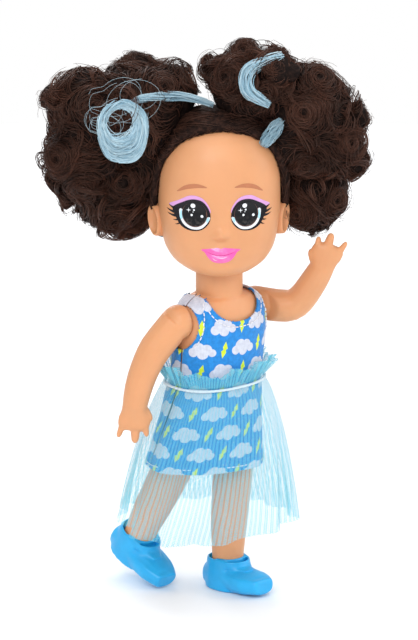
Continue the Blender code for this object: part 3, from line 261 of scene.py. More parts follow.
# How much closer together the columns of the head lie across the face
FRONT_CROWDING = 0.32
# The face lies this far towards the doll's right and up from the middle of the head, in metres
FACE_SHIFT = (-0.00055, 0.00040)
# Hills and hollows of the face in millimetres: rise, place from the middle and up, half width, half height
FACE_HILLS = (
    (0.55, 8.2, 9.6, 3.6, 4.0),  # cheeks
    (1.85, 0, 11.2, 1.35, 1.15),  # tip of the nose
    (0.60, 0, 13.6, 1.2, 2.6),  # bridge of the nose
    (0.50, 1.35, 10.7, 0.65, 0.65),  # nostrils
    (-0.22, 0, 9.3, 1.6, 0.5),  # under the nose
    (0.70, 0, 6.4, 3.3, 1.8),  # mouth
    (-0.20, 0, 3.9, 2.4, 0.5),  # under the lower lip
    (0.80, 0, 1.6, 3.2, 1.9),  # chin
    (-0.60, 6.2, 16.6, 3.2, 3.0),  # eye sockets
    (0.30, 6.2, 21.8, 4.0, 1.5),  # brows
)
# The same for the lips, up from the curved line between them
LIP_HILLS = ((0.24, 0, 0.95, 3.0, 0.5), (0.36, 0, -0.95, 2.3, 0.6), (-0.30, 0, 0, 3.0, 0.24))
LIP_MIDDLE = 6.15
LIP_CURVE = 0.09
LIP_REACH = 4.5
HEAD_SECTION_SHARES = (
    (-0.012, 0.02, 0.02, 0.02),
    (-0.008, 0.20, 0.36, 0.25),
    (0.000, 0.40, 0.62, 0.42),
    (0.035, 0.60, 0.84, 0.60),
    (0.095, 0.79, 0.955, 0.76),
    (0.180, 0.905, 1.0, 0.86),
    (0.290, 0.965, 1.00, 0.93),
    (0.430, 1.00, 0.99, 0.98),
    (0.600, 0.995, 0.985, 1.00),
    (0.740, 0.93, 0.92, 0.94),
    (0.860, 0.77, 0.78, 0.78),
    (0.950, 0.48, 0.50, 0.48),
    (0.985, 0.24, 0.25, 0.24),
    (0.999, 0.02, 0.02, 0.02),
)


def head_to_world(points):
    """From the head's own space to the doll at rest."""
    points = np.asarray(points, float)
    turn = np.array(Matrix.Rotation(HEAD_TURN, 3, "Z"))
    return points @ turn.T + HEAD_BASE


def face_relief(x, z):
    """How far the face stands out from the plain head: cheeks, nose, lips, chin and eye hollows, in metres."""
    x = np.abs(x - FACE_SHIFT[0]) / MM
    z = (z - FACE_SHIFT[1]) / MM
    lip_line = LIP_MIDDLE + LIP_CURVE * x**2 * np.exp(-((x / LIP_REACH) ** 4))
    relief = sum(rise * bump_at(x, z, *hill) for rise, *hill in FACE_HILLS)
    relief = relief + sum(rise * bump_at(x, z - lip_line, *hill) for rise, *hill in LIP_HILLS)
    return relief * MM


def head_grid(columns=160, rows=150):
    """Points of the sculpted head in its own space, as rows from the chin up."""
    table = np.asarray(HEAD_SECTION_SHARES)
    spread = np.linspace(0, 1, rows)
    eased = (1 - np.cos(np.pi * spread)) / 2
    steps = table[0, 0] + (table[-1, 0] - table[0, 0]) * (0.65 * spread + 0.35 * eased)
    values = hermite(table, steps)
    angles = 2 * np.pi * np.arange(columns) / columns
    angles = angles - FRONT_CROWDING * np.sin(angles + np.pi / 2 - np.pi)
    x = values[:, 1:2] * HEAD_HALF_WIDTH * rounded(np.cos(angles), HEAD_POWER)
    side = rounded(np.sin(angles), HEAD_POWER)
    y = np.where(side > 0, values[:, 3:4] * HEAD_BACK, values[:, 2:3] * HEAD_FRONT) * side
    z = values[:, :1] * HEAD_HEIGHT + 0 * x
    front = np.clip(-y / (values[:, 2:3] * HEAD_FRONT + 1e-9), 0, 1)
    weight = np.clip((front - 0.25) / 0.45, 0, 1)
    weight = weight * weight * (3 - 2 * weight)
    y = y - face_relief(x, z) * weight
    return x, y, z


HEAD_X, HEAD_Y, HEAD_Z = head_grid()


def build_head(material):
    """Sculpted vinyl head with ears."""
    points = np.stack((HEAD_X, HEAD_Y, HEAD_Z), -1).reshape(-1, 3)
    faces = grid_faces(*HEAD_X.shape, capped=True)
    carried(mesh_object("head_skin", head_to_world(points), faces, material), "head", "head_shell")
    for side, name in ((1, "ear_left_skin"), (-1, "ear_right_skin")):
        carried(ear_object(name, side, material), "head")


# An ear, in millimetres about its own centre, and where it sits on the head in metres
EAR_HALF_WIDTH = 2.75
EAR_HALF_HEIGHT = 4.1
EAR_FLARE = 0.10
EAR_BACK_SHARE = 0.92
EAR_BASE = 0.35
# Rise, place from the centre to the edge, and width: the rolled rim and the hollow inside it
EAR_RINGS = ((0.85, 0.82, 0.16), (-0.55, 0.0, 0.52))
EAR_KNOB = 0.45
EAR_EDGE_SHARE = 0.93
EAR_EDGE_DROP = 1.5
EAR_LEAN = math.radians(62)
EAR_TILT = math.radians(-10)
EAR_PLACE = (0.0150, 0.0003, 0.0116)


def ear_object(name, side, material):
    """Moulded ear: a cupped disc with a rolled rim, a hollow and a lobe."""
    rings, count = 26, 48
    r = np.repeat(np.linspace(0, 1, rings), count)
    angle = np.tile(2 * np.pi * np.arange(count) / count, rings)
    reach = r * (1 + EAR_FLARE * np.sin(angle))
    # u runs backwards along the head, height outwards, v upwards, in millimetres
    u = EAR_HALF_WIDTH * reach * np.cos(angle) * np.where(np.cos(angle) > 0, EAR_BACK_SHARE, 1)
    v = EAR_HALF_HEIGHT * reach * np.sin(angle)
    height = sum(rise * np.exp(-(((r - place) / width) ** 2)) for rise, place, width in EAR_RINGS)
    height += EAR_BASE + EAR_KNOB * bump_at(u, v, -1.0, -0.5, 0.8, 1.0)
    height -= np.maximum(r - EAR_EDGE_SHARE, 0) / (1 - EAR_EDGE_SHARE) * EAR_EDGE_DROP
    out = np.array((side * math.sin(EAR_LEAN), -math.cos(EAR_LEAN), 0))
    back = np.array((side * math.cos(EAR_LEAN), math.sin(EAR_LEAN), 0))
    up = np.array((0, 0, math.cos(EAR_TILT))) - back * math.sin(EAR_TILT)
    points = np.stack((u, height, v), 1) * MM
    placed = np.array(EAR_PLACE) * (side, 1, 1) + points @ np.array((back, out, up))
    faces = grid_faces(rings, count)
    if side > 0:
        faces = [face[::-1] for face in faces]
    return mesh_object(name, head_to_world(placed), faces, material)


# The front of the head ends at this depth, in metres
FRONT_LIMIT = 0.002


def face_depth(x, z):
    """Depth (y) of the face at one place in its front view, in metres."""
    heights = HEAD_Z[:, 0]
    row = int(np.clip(np.searchsorted(heights, z) - 1, 0, len(heights) - 2))
    share = (z - heights[row]) / (heights[row + 1] - heights[row])
    depths = []
    for across, deep in zip(HEAD_X[row : row + 2], HEAD_Y[row : row + 2]):
        front = np.flatnonzero(deep < FRONT_LIMIT)
        order = front[np.argsort(across[front])]
        depths.append(np.interp(x, across[order], deep[order]))
    return depths[0] * (1 - share) + depths[1] * share


def paint_patch(name, outline, material, lift, step=0.00022):
    """Thin paint on the face inside an outline given in the head's front view, in metres."""
    outline = np.asarray(outline, float) + FACE_SHIFT
    low, high = outline.min(0), outline.max(0)
    form = bmesh.new()
    ring = [form.verts.new((p[0], 0, p[1])) for p in outline]
    bmesh.ops.triangulate(form, faces=[form.faces.new(ring)])
    for normal, place, end in (((1, 0, 0), low[0], high[0]), ((0, 0, 1), low[1], high[1])):
        place += step
        while place < end:
            pieces = form.verts[:] + form.edges[:] + form.faces[:]
            bmesh.ops.bisect_plane(form, geom=pieces, plane_co=Vector(normal) * place, plane_no=normal)
            place += step
    for vert in form.verts:
        vert.co.y = face_depth(vert.co.x, vert.co.z) - lift
    mesh = bpy.data.meshes.new(name)
    bmesh.ops.recalc_face_normals(form, faces=form.faces)
    if sum(face.normal.y for face in form.faces) > 0:
        bmesh.ops.reverse_faces(form, faces=form.faces)
    form.to_mesh(mesh)
    form.free()
    mesh.shade_smooth()
    mesh.materials.append(material)
    placed = head_to_world([vert.co for vert in mesh.vertices])
    mesh.vertices.foreach_set("co", placed.ravel())
    carried(linked(name, mesh), "head")


# Face paint, in millimetres in the head's front view
# An eye about its own centre, x outwards from the nose: the outlines pass smoothly through these points
EYE_PLACE = (6.15, 15.95)
EYE_LID = ((5.8, 1.75), (3.6, 3.2), (1.0, 4.65), (-1.6, 4.2), (-3.3, 2.2), (-3.6, 0.5), (-1.3, 1.9), (4.2, 1.4))
EYE_LINE = ((5.0, 1.1), (2.6, 2.9), (0.4, 3.7), (-1.9, 3.2), (-3.5, 0.9))
EYE_LINE += ((-3.5, -1.6), (-1.8, -3.5), (0.8, -3.9), (3.0, -3.1), (4.2, -1.4))
EYE_WHITE = ((3.15, 1.15), (3.45, -0.7), (2.55, -2.55), (0.8, -3.5))
EYE_WHITE += ((-1.4, -3.35), (-3.0, -1.9), (-3.45, -0.45), (-0.3, -1.3))
EYE_TINTS = (
    ((3.1, 0.95), (3.45, -0.6), (3.2, -1.4), (2.75, -0.9)),
    ((-3.35, -0.55), (-3.25, -1.3), (-2.85, -1.85), (-2.75, -1.0)),
)
IRIS_RADII = (2.95, 3.0)
# Metres above the neck between which the rays in the iris fade
IRIS_GLOW = (0.0128, 0.0165)
# Each lash: root, direction in degrees above outwards, length and width
LASHES = (
    (3.9, 0.9, 20, 2.1, 0.90),
    (4.1, 0.1, 12, 2.3, 0.90),
    (4.0, -0.7, 6, 2.2, 0.80),
    (3.8, -1.6, -12, 1.2, 0.45),
    (3.3, -2.2, -30, 1.4, 0.45),
)
# Painted lights, on the same side of both irises: place and radius
EYE_LIGHTS = ((-0.4, 2.1, 0.57), (-0.15, 1.05, 0.23), (-0.35, 0.55, 0.12), (-0.7, -0.2, 0.28))
EYE_LIGHTS += ((1.7, -0.35, 0.33),)
EYE_STAR = (-1.4, 1.0)
EYE_STAR_REACH = 0.62
STAR_SHARES = (1, 0.36, 0.27, 0.36)
EYE_GLINT = ((2.65, 0.9), (2.75, 0.25), (2.65, -0.35))
BROW = ((10.2, 21.25), (8.0, 22.6), (5.5, 23.05), (3.3, 22.75))
BROW_WIDTH = 1.05
# Half of the mouth from its middle, above and below the corner
LIP_UPPER = ((0.0, 7.85), (0.75, 8.05), (1.75, 7.95), (3.2, 7.8), (4.7, 7.5))
LIP_LOWER = ((3.85, 6.85), (3.05, 5.6), (2.2, 4.75), (1.2, 4.3), (0.0, 4.15))
LIP_LINE = ((-3.7, 7.15), (-2.0, 6.5), (0.0, 6.15), (2.0, 6.5), (3.7, 7.15))
# Painted highlights on the lower lip: each a stroke through points in millimetres
LIP_HIGHLIGHTS = (((-2.0, 5.6), (-1.5, 5.1), (-0.9, 4.9)), ((-1.1, 5.75), (0.3, 5.6), (1.6, 5.95)))


def smooth_loop(points, steps=6):
    """Closed smooth outline through points in millimetres."""
    around = np.roll(np.asarray(points, float), 1, axis=0)
    around = np.vstack((around, around[:3]))
    return np.array([point for i in range(len(points)) for point in span(*around[i : i + 4], steps)]) * MM


def beside(points, sign):
    """Points of an eye's own shape placed on one side of the face."""
    return [(sign * (EYE_PLACE[0] + u), EYE_PLACE[1] + v) for u, v in points]


def round_outline(x, z, rx, rz, count=40):
    """Outline of an oval."""
    angles = np.linspace(0, 2 * np.pi, count, endpoint=False)
    return np.stack((x + rx * np.cos(angles), z + rz * np.sin(angles)), 1) * MM


def stroke_outline(points, width, ends=0.15):
    """Outline of a tapered brush stroke along points in millimetres."""
    line = smooth_curve([(x, 0, z) for x, z in points], 24)[:, (0, 2)]
    along = np.gradient(line, axis=0)
    along /= np.linalg.norm(along, axis=1, keepdims=True)
    across = np.stack((-along[:, 1], along[:, 0]), 1)
    taper = ends + (1 - ends) * np.sin(np.linspace(0, np.pi, len(line))) ** 0.8
    half = width / 2 * taper[:, None]
    return np.vstack((line + across * half, (line - across * half)[::-1])) * MM


def spike_outline(base, tip, width):
    """Outline of one curved eyelash."""
    base, tip = np.asarray(base, float), np.asarray(tip, float)
    reach = tip - base
    side = np.array((-reach[1], reach[0])) / np.linalg.norm(reach)
    lift = side * 0.10 * np.sign(side[1]) * np.linalg.norm(reach)
    steps = np.linspace(0, 1, 9)[:, None]
    line = base + reach * steps - 4 * lift * steps * (1 - steps)
    half = width / 2 * (1 - steps) ** 0.8 + 0.012
    return np.vstack((line + side * half, (line - side * half)[::-1])) * MM


def star_outline(x, z, reach):
    """Outline of a four-pointed sparkle."""
    angles = np.arange(16) * np.pi / 8
    radii = reach * np.tile(STAR_SHARES, 4)
    return np.stack((x + radii * np.cos(angles), z + radii * np.sin(angles)), 1) * MM


def build_face():
    """Printed eyes, lashes, lids, brows and lips."""
    lilac = paint_material("paint_lilac", (0.70, 0.36, 0.68), 0.4)
    black = paint_material("paint_black", (0.012, 0.010, 0.014), 0.22)
    white = paint_material("paint_white", (0.82, 0.84, 0.88), 0.3)
    sky = paint_material("paint_sky", (0.42, 0.74, 0.86), 0.3)
    brow = paint_material("paint_brow", (0.50, 0.19, 0.095), 0.5)
    rim = paint_material("paint_rim", (0.16, 0.075, 0.055), 0.3)
    iris_paint = iris_material()
    for side, sign in (("right", -1), ("left", 1)):
        x, z = sign * EYE_PLACE[0], EYE_PLACE[1]
        paint_patch(f"lid_paint_{side}", smooth_loop(beside(EYE_LID, sign)), lilac, 0.00005)
        paint_patch(f"eye_line_{side}", smooth_loop(beside(EYE_LINE, sign)), black, 0.00009)
        for i, (u, v, rise, length, width) in enumerate(LASHES):
            lean = math.radians(rise)
            tip = (u + length * math.cos(lean), v + length * math.sin(lean))
            outline = spike_outline(*beside(((u, v), tip), sign), width)
            paint_patch(f"lash_{side}_{i + 1}", outline, black, 0.00009)
        paint_patch(f"eye_white_{side}", smooth_loop(beside(EYE_WHITE, sign)), white, 0.00013)
        for i, tint in enumerate(EYE_TINTS):
            paint_patch(f"eye_tint_{side}_{i + 1}", smooth_loop(beside(tint, sign)), sky, 0.00016)
        rx, rz = IRIS_RADII
        paint_patch(f"iris_rim_{side}", round_outline(x, z, rx, rz), rim, 0.00017)
        paint_patch(f"iris_{side}", round_outline(x, z + 0.10, rx - 0.10, rz - 0.08), iris_paint, 0.00020)
        for i, (u, v, r) in enumerate(EYE_LIGHTS):
            paint_patch(f"eye_light_{side}_{i + 1}", round_outline(x + u, z + v, r, r, 20), white, 0.00025)
        paint_patch(f"eye_star_{side}", star_outline(x + EYE_STAR[0], z + EYE_STAR[1], EYE_STAR_REACH), white, 0.00025)
        glint = [(x + u, z + v) for u, v in EYE_GLINT]
        paint_patch(f"eye_glint_{side}", stroke_outline(glint, 0.12), rim, 0.00025)
        brow_line = [(sign * u, v) for u, v in BROW]
        paint_patch(f"brow_{side}", stroke_outline(brow_line, BROW_WIDTH), brow, 0.00004)
    right_half = LIP_UPPER + LIP_LOWER
    left_half = [(-x, z) for x, z in reversed(right_half[1:-1])]
    paint_patch("lips", smooth_loop((*right_half, *left_half)), lip_material(), 0.00006, 0.00016)
    dark = paint_material("paint_lip_line", (0.62, 0.035, 0.26), 0.4)
    paint_patch("lip_line", stroke_outline(LIP_LINE, 0.16), dark, 0.00009)
    # Pale pink strokes on the lower lip: painted highlights
    light = paint_material("painted_lip_highlight", (0.92, 0.50, 0.72), 0.2)
    for i, points in enumerate(LIP_HIGHLIGHTS):
        paint_patch(f"lip_highlight_{i + 1}", stroke_outline(points, 0.24), light, 0.00010)


def iris_material():
    """Near-black iris with faint grey rays that brighten downwards."""
    shader = Shader("paint_iris", 0.22)
    height = shader.split(shader.place())[2]
    low = shader.ramp(height, *(float(HEAD_BASE[2]) + rise for rise in IRIS_GLOW), 1.0, 0.0)
    rays = shader.ramp(shader.noise(1400.0, 4.0), 0.42, 0.68)
    share = shader.math("MULTIPLY", low, rays)
    shader.set(Base_Color=shader.mix(share, (0.010, 0.010, 0.012), (0.075, 0.066, 0.062)), Specular_IOR_Level=0.22)
    return shader.material


def lip_material():
    """Pink lip paint that wanders a little in tone, under a thin clear coat."""
    shader = Shader("paint_lips", 0.28)
    shader.mottle(420.0, 3.0, 0.35, 0.65, (0.82, 0.095, 0.40), (0.88, 0.16, 0.48))
    shader.set(Coat_Weight=0.35, Coat_Roughness=0.2)
    shader.bump(shader.noise(1500.0, 2.0), 0.08, 0.00006)
    return shader.material


# Soft vinyl and moulded pieces shaped from their CAD solids
def rounded_mesh(name, mesh, material, voxel, rounds):
    """An object from a mesh that is remeshed finely and smoothed."""
    obj = linked(name, mesh)
    remesh = obj.modifiers.new("remesh", "REMESH")
    remesh.mode = "VOXEL"
    remesh.voxel_size = voxel
    obj.modifiers.new("smooth", "SMOOTH").iterations = rounds
    bake(obj)
    obj.data.materials.clear()
    obj.data.materials.append(material)
    obj.data.shade_smooth()
    return obj


def softened(node, label, body, material, voxel, rounds, mesh=None):
    """A rounded copy of a CAD solid that stands in for that node."""
    mesh = mesh or frame["nodes"][node].data.copy()
    return carried(rounded_mesh(f"{node}_{label}", mesh, material, voxel, rounds), body, node)


def bake(obj):
    """Replace an object's mesh with what its modifiers make of it."""
    graph = bpy.context.evaluated_depsgraph_get()
    made = bpy.data.meshes.new_from_object(obj.evaluated_get(graph), depsgraph=graph)
    obj.modifiers.clear()
    obj.data = made
    return obj


# Angle of each leg at rest, and where the closed front of a shoe begins and ends, from the doll's own origin
LEG_RAISE = {"left": 0.0, "right": math.radians(28)}
VAMP_BACK = -0.0076
VAMP_TOP = 0.0076
VAMP_WALL = 0.00060
VAMP_SLANT = 0.30
WELD_REACH = 0.00001


def build_limbs(material, shoe):
    """Arms, legs and shoes, softened from their solids."""
    for side in ("left", "right"):
        softened(f"arm_{side}", "skin", f"arm_{side}", material, 0.00030, 9)
        softened(f"leg_{side}", "skin", f"leg_{side}", material, 0.00034, 9)
        softened(f"shoe_{side}", "shell", f"leg_{side}", shoe, 0.00024, 24, vamped_shoe(side))


def vamped_shoe(side):
    """A shoe's solid with a closed vamp: the front of the foot, grown a little, joined to it."""
    hip = Vector(JOINTS[f"leg_{side}_swing"]["pos_m"])
    raised = Matrix.Rotation(LEG_RAISE[side], 3, "X")
    form = bmesh.new()
    form.from_mesh(frame["nodes"][f"leg_{side}"].data)
    bmesh.ops.remove_doubles(form, verts=form.verts, dist=WELD_REACH)
    for back, up, facing in ((VAMP_BACK, 0, (0, 1, VAMP_SLANT)), (0, VAMP_TOP - HIP_HEIGHT, (0, 0, 1))):
        place = hip + raised @ Vector((0, back - hip.y + ORIGIN[1], up))
        cut = {"geom": form.verts[:] + form.edges[:] + form.faces[:], "clear_outer": True}
        bmesh.ops.bisect_plane(form, plane_co=place, plane_no=raised @ Vector(facing), **cut)
        bmesh.ops.holes_fill(form, edges=[edge for edge in form.edges if edge.is_boundary], sides=0)
    bmesh.ops.recalc_face_normals(form, faces=form.faces)
    form.normal_update()
    for vert in form.verts:
        vert.co += vert.normal * VAMP_WALL
    form.from_mesh(frame["nodes"][f"shoe_{side}"].data)
    mesh = bpy.data.meshes.new(f"shoe_{side}_joined")
    form.to_mesh(mesh)
    form.free()
    return mesh


def shoe_material():
    """Flexible moulded plastic: even sky blue with a soft sheen and fine mould texture."""
    shader = Shader("shoe_plastic", 0.38)
    shader.mottle(240.0, 3.0, 0.3, 0.7, (0.010, 0.37, 0.74), (0.014, 0.42, 0.82))
    shader.set(Roughness=shader.ramp(shader.noise(1500.0, 2.0), 0.2, 0.8, 0.34, 0.46))
    shader.set(Subsurface_Weight=0.06, Subsurface_Radius=(0.2, 0.6, 0.9), Subsurface_Scale=0.0008)
    shader.bump(shader.noise(3200.0, 2.0), 0.10, 0.00008)
    return shader.material


# The clothed body, in the doll's own space in metres
HIP_HEIGHT = 0.0450
CROTCH_HEIGHT = HIP_HEIGHT - 0.0065
SHOULDER_TOP = HIP_HEIGHT + 0.0315
TORSO_HALF_WIDTH = 0.0120
TORSO_HALF_DEPTH = 0.0084
HIP_SETBACK = 0.0030
NECK_RADIUS = 0.0054
TORSO_POWER = 2.3
TORSO_SECTION_SHARES = (
    (0.00, 0.16, 0.34, 1.00),
    (0.04, 0.50, 0.66, 1.00),
    (0.13, 0.86, 0.90, 1.00),
    (0.24, 1.00, 1.00, 0.92),
    (0.36, 0.96, 1.00, 0.68),
    (0.47, 0.90, 0.98, 0.42),
    (0.60, 0.91, 0.97, 0.18),
    (0.74, 0.94, 0.95, 0.04),
    (0.86, 0.94, 0.87, 0.00),
    (0.93, 0.87, 0.77, 0.00),
    (0.98, 0.68, 0.69, 0.00),
)
CLOTH = 0.0004
CLOTH_EASE = 0.0005
HEM_HEIGHT = HIP_HEIGHT - 0.0125
HEM_HALF_WIDTH = 0.0138
HEM_HALF_DEPTH = 0.0094
HEM_SETBACK = 0.0052
HEM_TURN = math.radians(-26)
DRESS_WAIST = CROTCH_HEIGHT + 0.42 * (SHOULDER_TOP - CROTCH_HEIGHT)
NECKLINE_HALF_WIDTH = 0.0074
ARMHOLE_CENTRE = (0.0008, SHOULDER_TOP - 0.0060)
ARMHOLE_HALF = (0.0052, 0.0064)
ARMHOLE_REACH = 0.0104
CLOSURE_OVERLAP = 0.0034
# The back panels lap at the closure: how far it stands out, and the angles over which it rises and falls
LAP_RISE = 0.00158
LAP_START = math.radians(42)
LAP_RUN = math.radians(26)
LAP_MARGIN = math.radians(8)
LAP_FALL = math.radians(25)
NECKLINE_FRONT_DROP = 0.0056
NECKLINE_BACK_DROP = 0.0026
NECKLINE_POWER = 2.4
# Mean radii that turn a share of each opening into metres
NECKLINE_SIZE = 0.0060
ARMHOLE_SIZE = 0.0055
PELVIS_HALF_WIDTH = 0.0026
LEG_ROOM = 0.0058
SHOULDER_SEAT = 0.0110
STITCH_INSET = 0.0012
STITCH_PITCH = 0.0012
STITCH_RADIUS = 0.00016
ELASTIC_RADIUS = 0.00034
ELASTIC_CRIMP = 0.00010
SKIRT_GAP = 0.0003
WAIST_HEIGHT = HIP_HEIGHT + 0.0095


def torso_table():
    """Height, half width, half depth and setback of the bare torso."""
    rows = []
    for lift, width, depth, setback in TORSO_SECTION_SHARES:
        height = CROTCH_HEIGHT + lift * (SHOULDER_TOP - CROTCH_HEIGHT)
        rows.append((height, width * TORSO_HALF_WIDTH, depth * TORSO_HALF_DEPTH, setback * HIP_SETBACK))
    return np.array(rows)


def eased_rows(rows, ease):
    """Rows moved out along their side profile."""
    rows = np.array(rows, float)
    out = rows.copy()
    for i in range(len(rows)):
        below, above = rows[max(i - 1, 0)], rows[min(i + 1, len(rows) - 1)]
        rise, spread = above[0] - below[0], above[1] - below[1]
        length = math.hypot(rise, spread)
        out[i, 0] += -ease * spread / length
        out[i, 1] += ease * rise / length
        out[i, 2] += ease * rise / length
    return out


def dress_table(ease):
    """Height, half width, half depth, setback and turn of the dress from its hem to the neck."""
    torso = torso_table()
    waist = [float(np.interp(DRESS_WAIST, torso[:, 0], torso[:, k])) for k in (1, 2, 3)]
    rows = []
    for i in range(6):
        share = i / 6
        height = HEM_HEIGHT + share * (DRESS_WAIST - HEM_HEIGHT)
        body = [float(np.interp(height, torso[:, 0], torso[:, k])) for k in (1, 2)]
        width = max(body[0] + CLOTH_EASE, HEM_HALF_WIDTH + share * (waist[0] + CLOTH_EASE - HEM_HALF_WIDTH))
        depth = max(body[1] + CLOTH_EASE, HEM_HALF_DEPTH + share * (waist[1] + CLOTH_EASE - HEM_HALF_DEPTH))
        setback = HEM_SETBACK + share * (waist[2] - HEM_SETBACK)
        rows.append((height, width + ease, depth + ease, setback, HEM_TURN * (1 - share) ** 1.3))
    upper = torso[torso[:, 0] > DRESS_WAIST]
    upper = np.vstack((upper, (SHOULDER_TOP, NECK_RADIUS, NECK_RADIUS, 0)))
    upper = np.column_stack((eased_rows(upper, CLOTH_EASE + ease), np.zeros(len(upper))))
    return np.vstack((rows, upper))


def body_points(values, angles, out=0.0):
    """Points of sections (height, width, depth, setback, turn) at angles around the body."""
    values = np.asarray(values)
    height, width, depth, setback, turn = (values[..., k] for k in range(5))
    across = (width + out) * rounded(np.cos(angles), TORSO_POWER)
    along = (depth + out) * rounded(np.sin(angles), TORSO_POWER)
    x = across * np.cos(turn) - along * np.sin(turn)
    y = setback + across * np.sin(turn) + along * np.cos(turn)
    return np.stack((x, y, height + 0 * x), -1)


def eased(value, start, run):
    """Rise from 0 to 1 with soft ends."""
    share = np.clip((value - start) / run, 0, 1)
    return share * share * (3 - 2 * share)


def closure_lift(angles):
    """How far the upper end of the lapped back closure stands out."""
    return LAP_RISE * eased(np.asarray(angles), LAP_START, LAP_RUN)


def closure_bulge(angles):
    """How far whatever passes around the lapped back closure stands out."""
    angles = np.asarray(angles)
    lap_end = math.pi / 2 + CLOSURE_OVERLAP / TORSO_HALF_DEPTH / 2 + LAP_MARGIN
    return np.where(angles <= lap_end, closure_lift(angles), LAP_RISE * (1 - eased(angles, lap_end, LAP_FALL)))


def cut_value(points):
    """Below zero inside the neckline or an armhole, above zero on the cloth."""
    x, y, z = points[..., 0], points[..., 1], points[..., 2]
    drop = np.where(y < ARMHOLE_CENTRE[0], NECKLINE_FRONT_DROP, NECKLINE_BACK_DROP)
    neck = (np.abs(x) / NECKLINE_HALF_WIDTH) ** NECKLINE_POWER
    neck += (np.clip(SHOULDER_TOP - z, 0, 1) / drop) ** NECKLINE_POWER
    neck = (neck ** (1 / NECKLINE_POWER) - 1) * NECKLINE_SIZE
    hole = np.hypot((y - ARMHOLE_CENTRE[0]) / ARMHOLE_HALF[0], (z - ARMHOLE_CENTRE[1]) / ARMHOLE_HALF[1])
    hole = (hole - 1) * ARMHOLE_SIZE
    side = np.maximum(hole, ARMHOLE_REACH - np.abs(x))
    return np.minimum(neck, side)


def build_torso(material):
    """Smooth torso with its neck, kept narrow between the legs and flat beside the arms."""
    neck = [(height, NECK_RADIUS, NECK_RADIUS, 0) for height in (SHOULDER_TOP, NECK_TOP)]
    table = np.vstack((torso_table(), neck))
    rows, count = 170, 120
    values = hermite(table, np.linspace(table[0, 0], table[-1, 0], rows))
    values = np.column_stack((values, np.zeros(rows)))
    angles = 2 * np.pi * np.arange(count)[None, :] / count
    points = body_points(values[:, None, :], angles)
    low = points[..., 2] < HIP_HEIGHT + LEG_ROOM
    reach = np.where(low, PELVIS_HALF_WIDTH, SHOULDER_SEAT)
    points[..., 0] = np.clip(points[..., 0], -reach, reach)
    faces = grid_faces(rows, count, capped=True)
    torso = mesh_object("torso_skin", (points + ORIGIN).reshape(-1, 3), faces, material)
    carried(torso, "torso", "torso_front", "torso_back")


def dress_front_y(x, z, table):
    """Depth of the front face of the dress at places in its front view."""
    width, depth, setback = (np.interp(z, table[:, 0], table[:, k]) for k in (1, 2, 3))
    share = np.clip(np.abs(x) / width, 0, 0.98)
    return setback - depth * (1 - share**TORSO_POWER) ** (1 / TORSO_POWER)


def dress_side_x(y, z, table):
    """Reach sideways of the dress at places in its side view."""
    width, depth, setback = (np.interp(z, table[:, 0], table[:, k]) for k in (1, 2, 3))
    share = np.clip(np.abs(y - setback) / depth, 0, 0.98)
    return width * (1 - share**TORSO_POWER) ** (1 / TORSO_POWER)


def stitch_row(node, route, material):
    """Row of short raised stitches along a route."""
    length = np.linalg.norm(np.diff(route, axis=0), axis=1).sum()
    count = int(length / STITCH_PITCH)
    dense = smooth_curve(route, count * 8 + 1)
    tubes = []
    for i in range(count):
        piece = dense[i * 8 : i * 8 + 7] + ORIGIN
        radii = STITCH_RADIUS * np.sin(np.pi * np.linspace(0.12, 0.88, len(piece))) ** 0.5
        tubes.append((piece, radii, RNG.uniform(0, 1)))
    carried(tubes_object(node + "_threads", tubes, material, 6), "torso", node)


def build_trims(thread, rubber):
    """Stitched lines along the neckline, armholes and hem, and the waist elastic."""
    table = dress_table(CLOTH + 0.0002)
    angles = np.radians(np.linspace(-165, -15, 40))
    x = (NECKLINE_HALF_WIDTH + STITCH_INSET) * rounded(np.cos(angles), NECKLINE_POWER)
    z = SHOULDER_TOP + (NECKLINE_FRONT_DROP + STITCH_INSET) * rounded(np.sin(angles), NECKLINE_POWER)
    stitch_row("neckline_stitch", np.stack((x, dress_front_y(x, z, table), z), 1), thread)
    angles = np.radians(np.linspace(135, 225, 24))
    y = ARMHOLE_CENTRE[0] + (ARMHOLE_HALF[0] + STITCH_INSET) * np.cos(angles)
    z = ARMHOLE_CENTRE[1] + (ARMHOLE_HALF[1] + STITCH_INSET) * np.sin(angles)
    for side, sign in (("left", 1), ("right", -1)):
        route = np.stack((sign * dress_side_x(y, z, table), y, z), 1)
        stitch_row(f"armhole_stitch_{side}", route, thread)
    angles = np.radians(np.linspace(112, 402, 120))
    hem = np.array((table[0, 0] + STITCH_INSET, *table[0, 1:]))
    stitch_row("hem_stitch", body_points(hem, angles), thread)
    angles = np.linspace(0, 2 * np.pi, 361)
    ring = waist_values(CLOTH + SKIRT_GAP + 0.0004)
    wave = ELASTIC_CRIMP * np.sin(60 * angles)
    route = body_points(ring, angles, closure_bulge(angles) + wave) + ORIGIN
    elastic = tubes_object("waist_elastic_cord", [(route, ELASTIC_RADIUS, 0.5)], rubber, 8)
    carried(elastic, "torso", "waist_elastic")


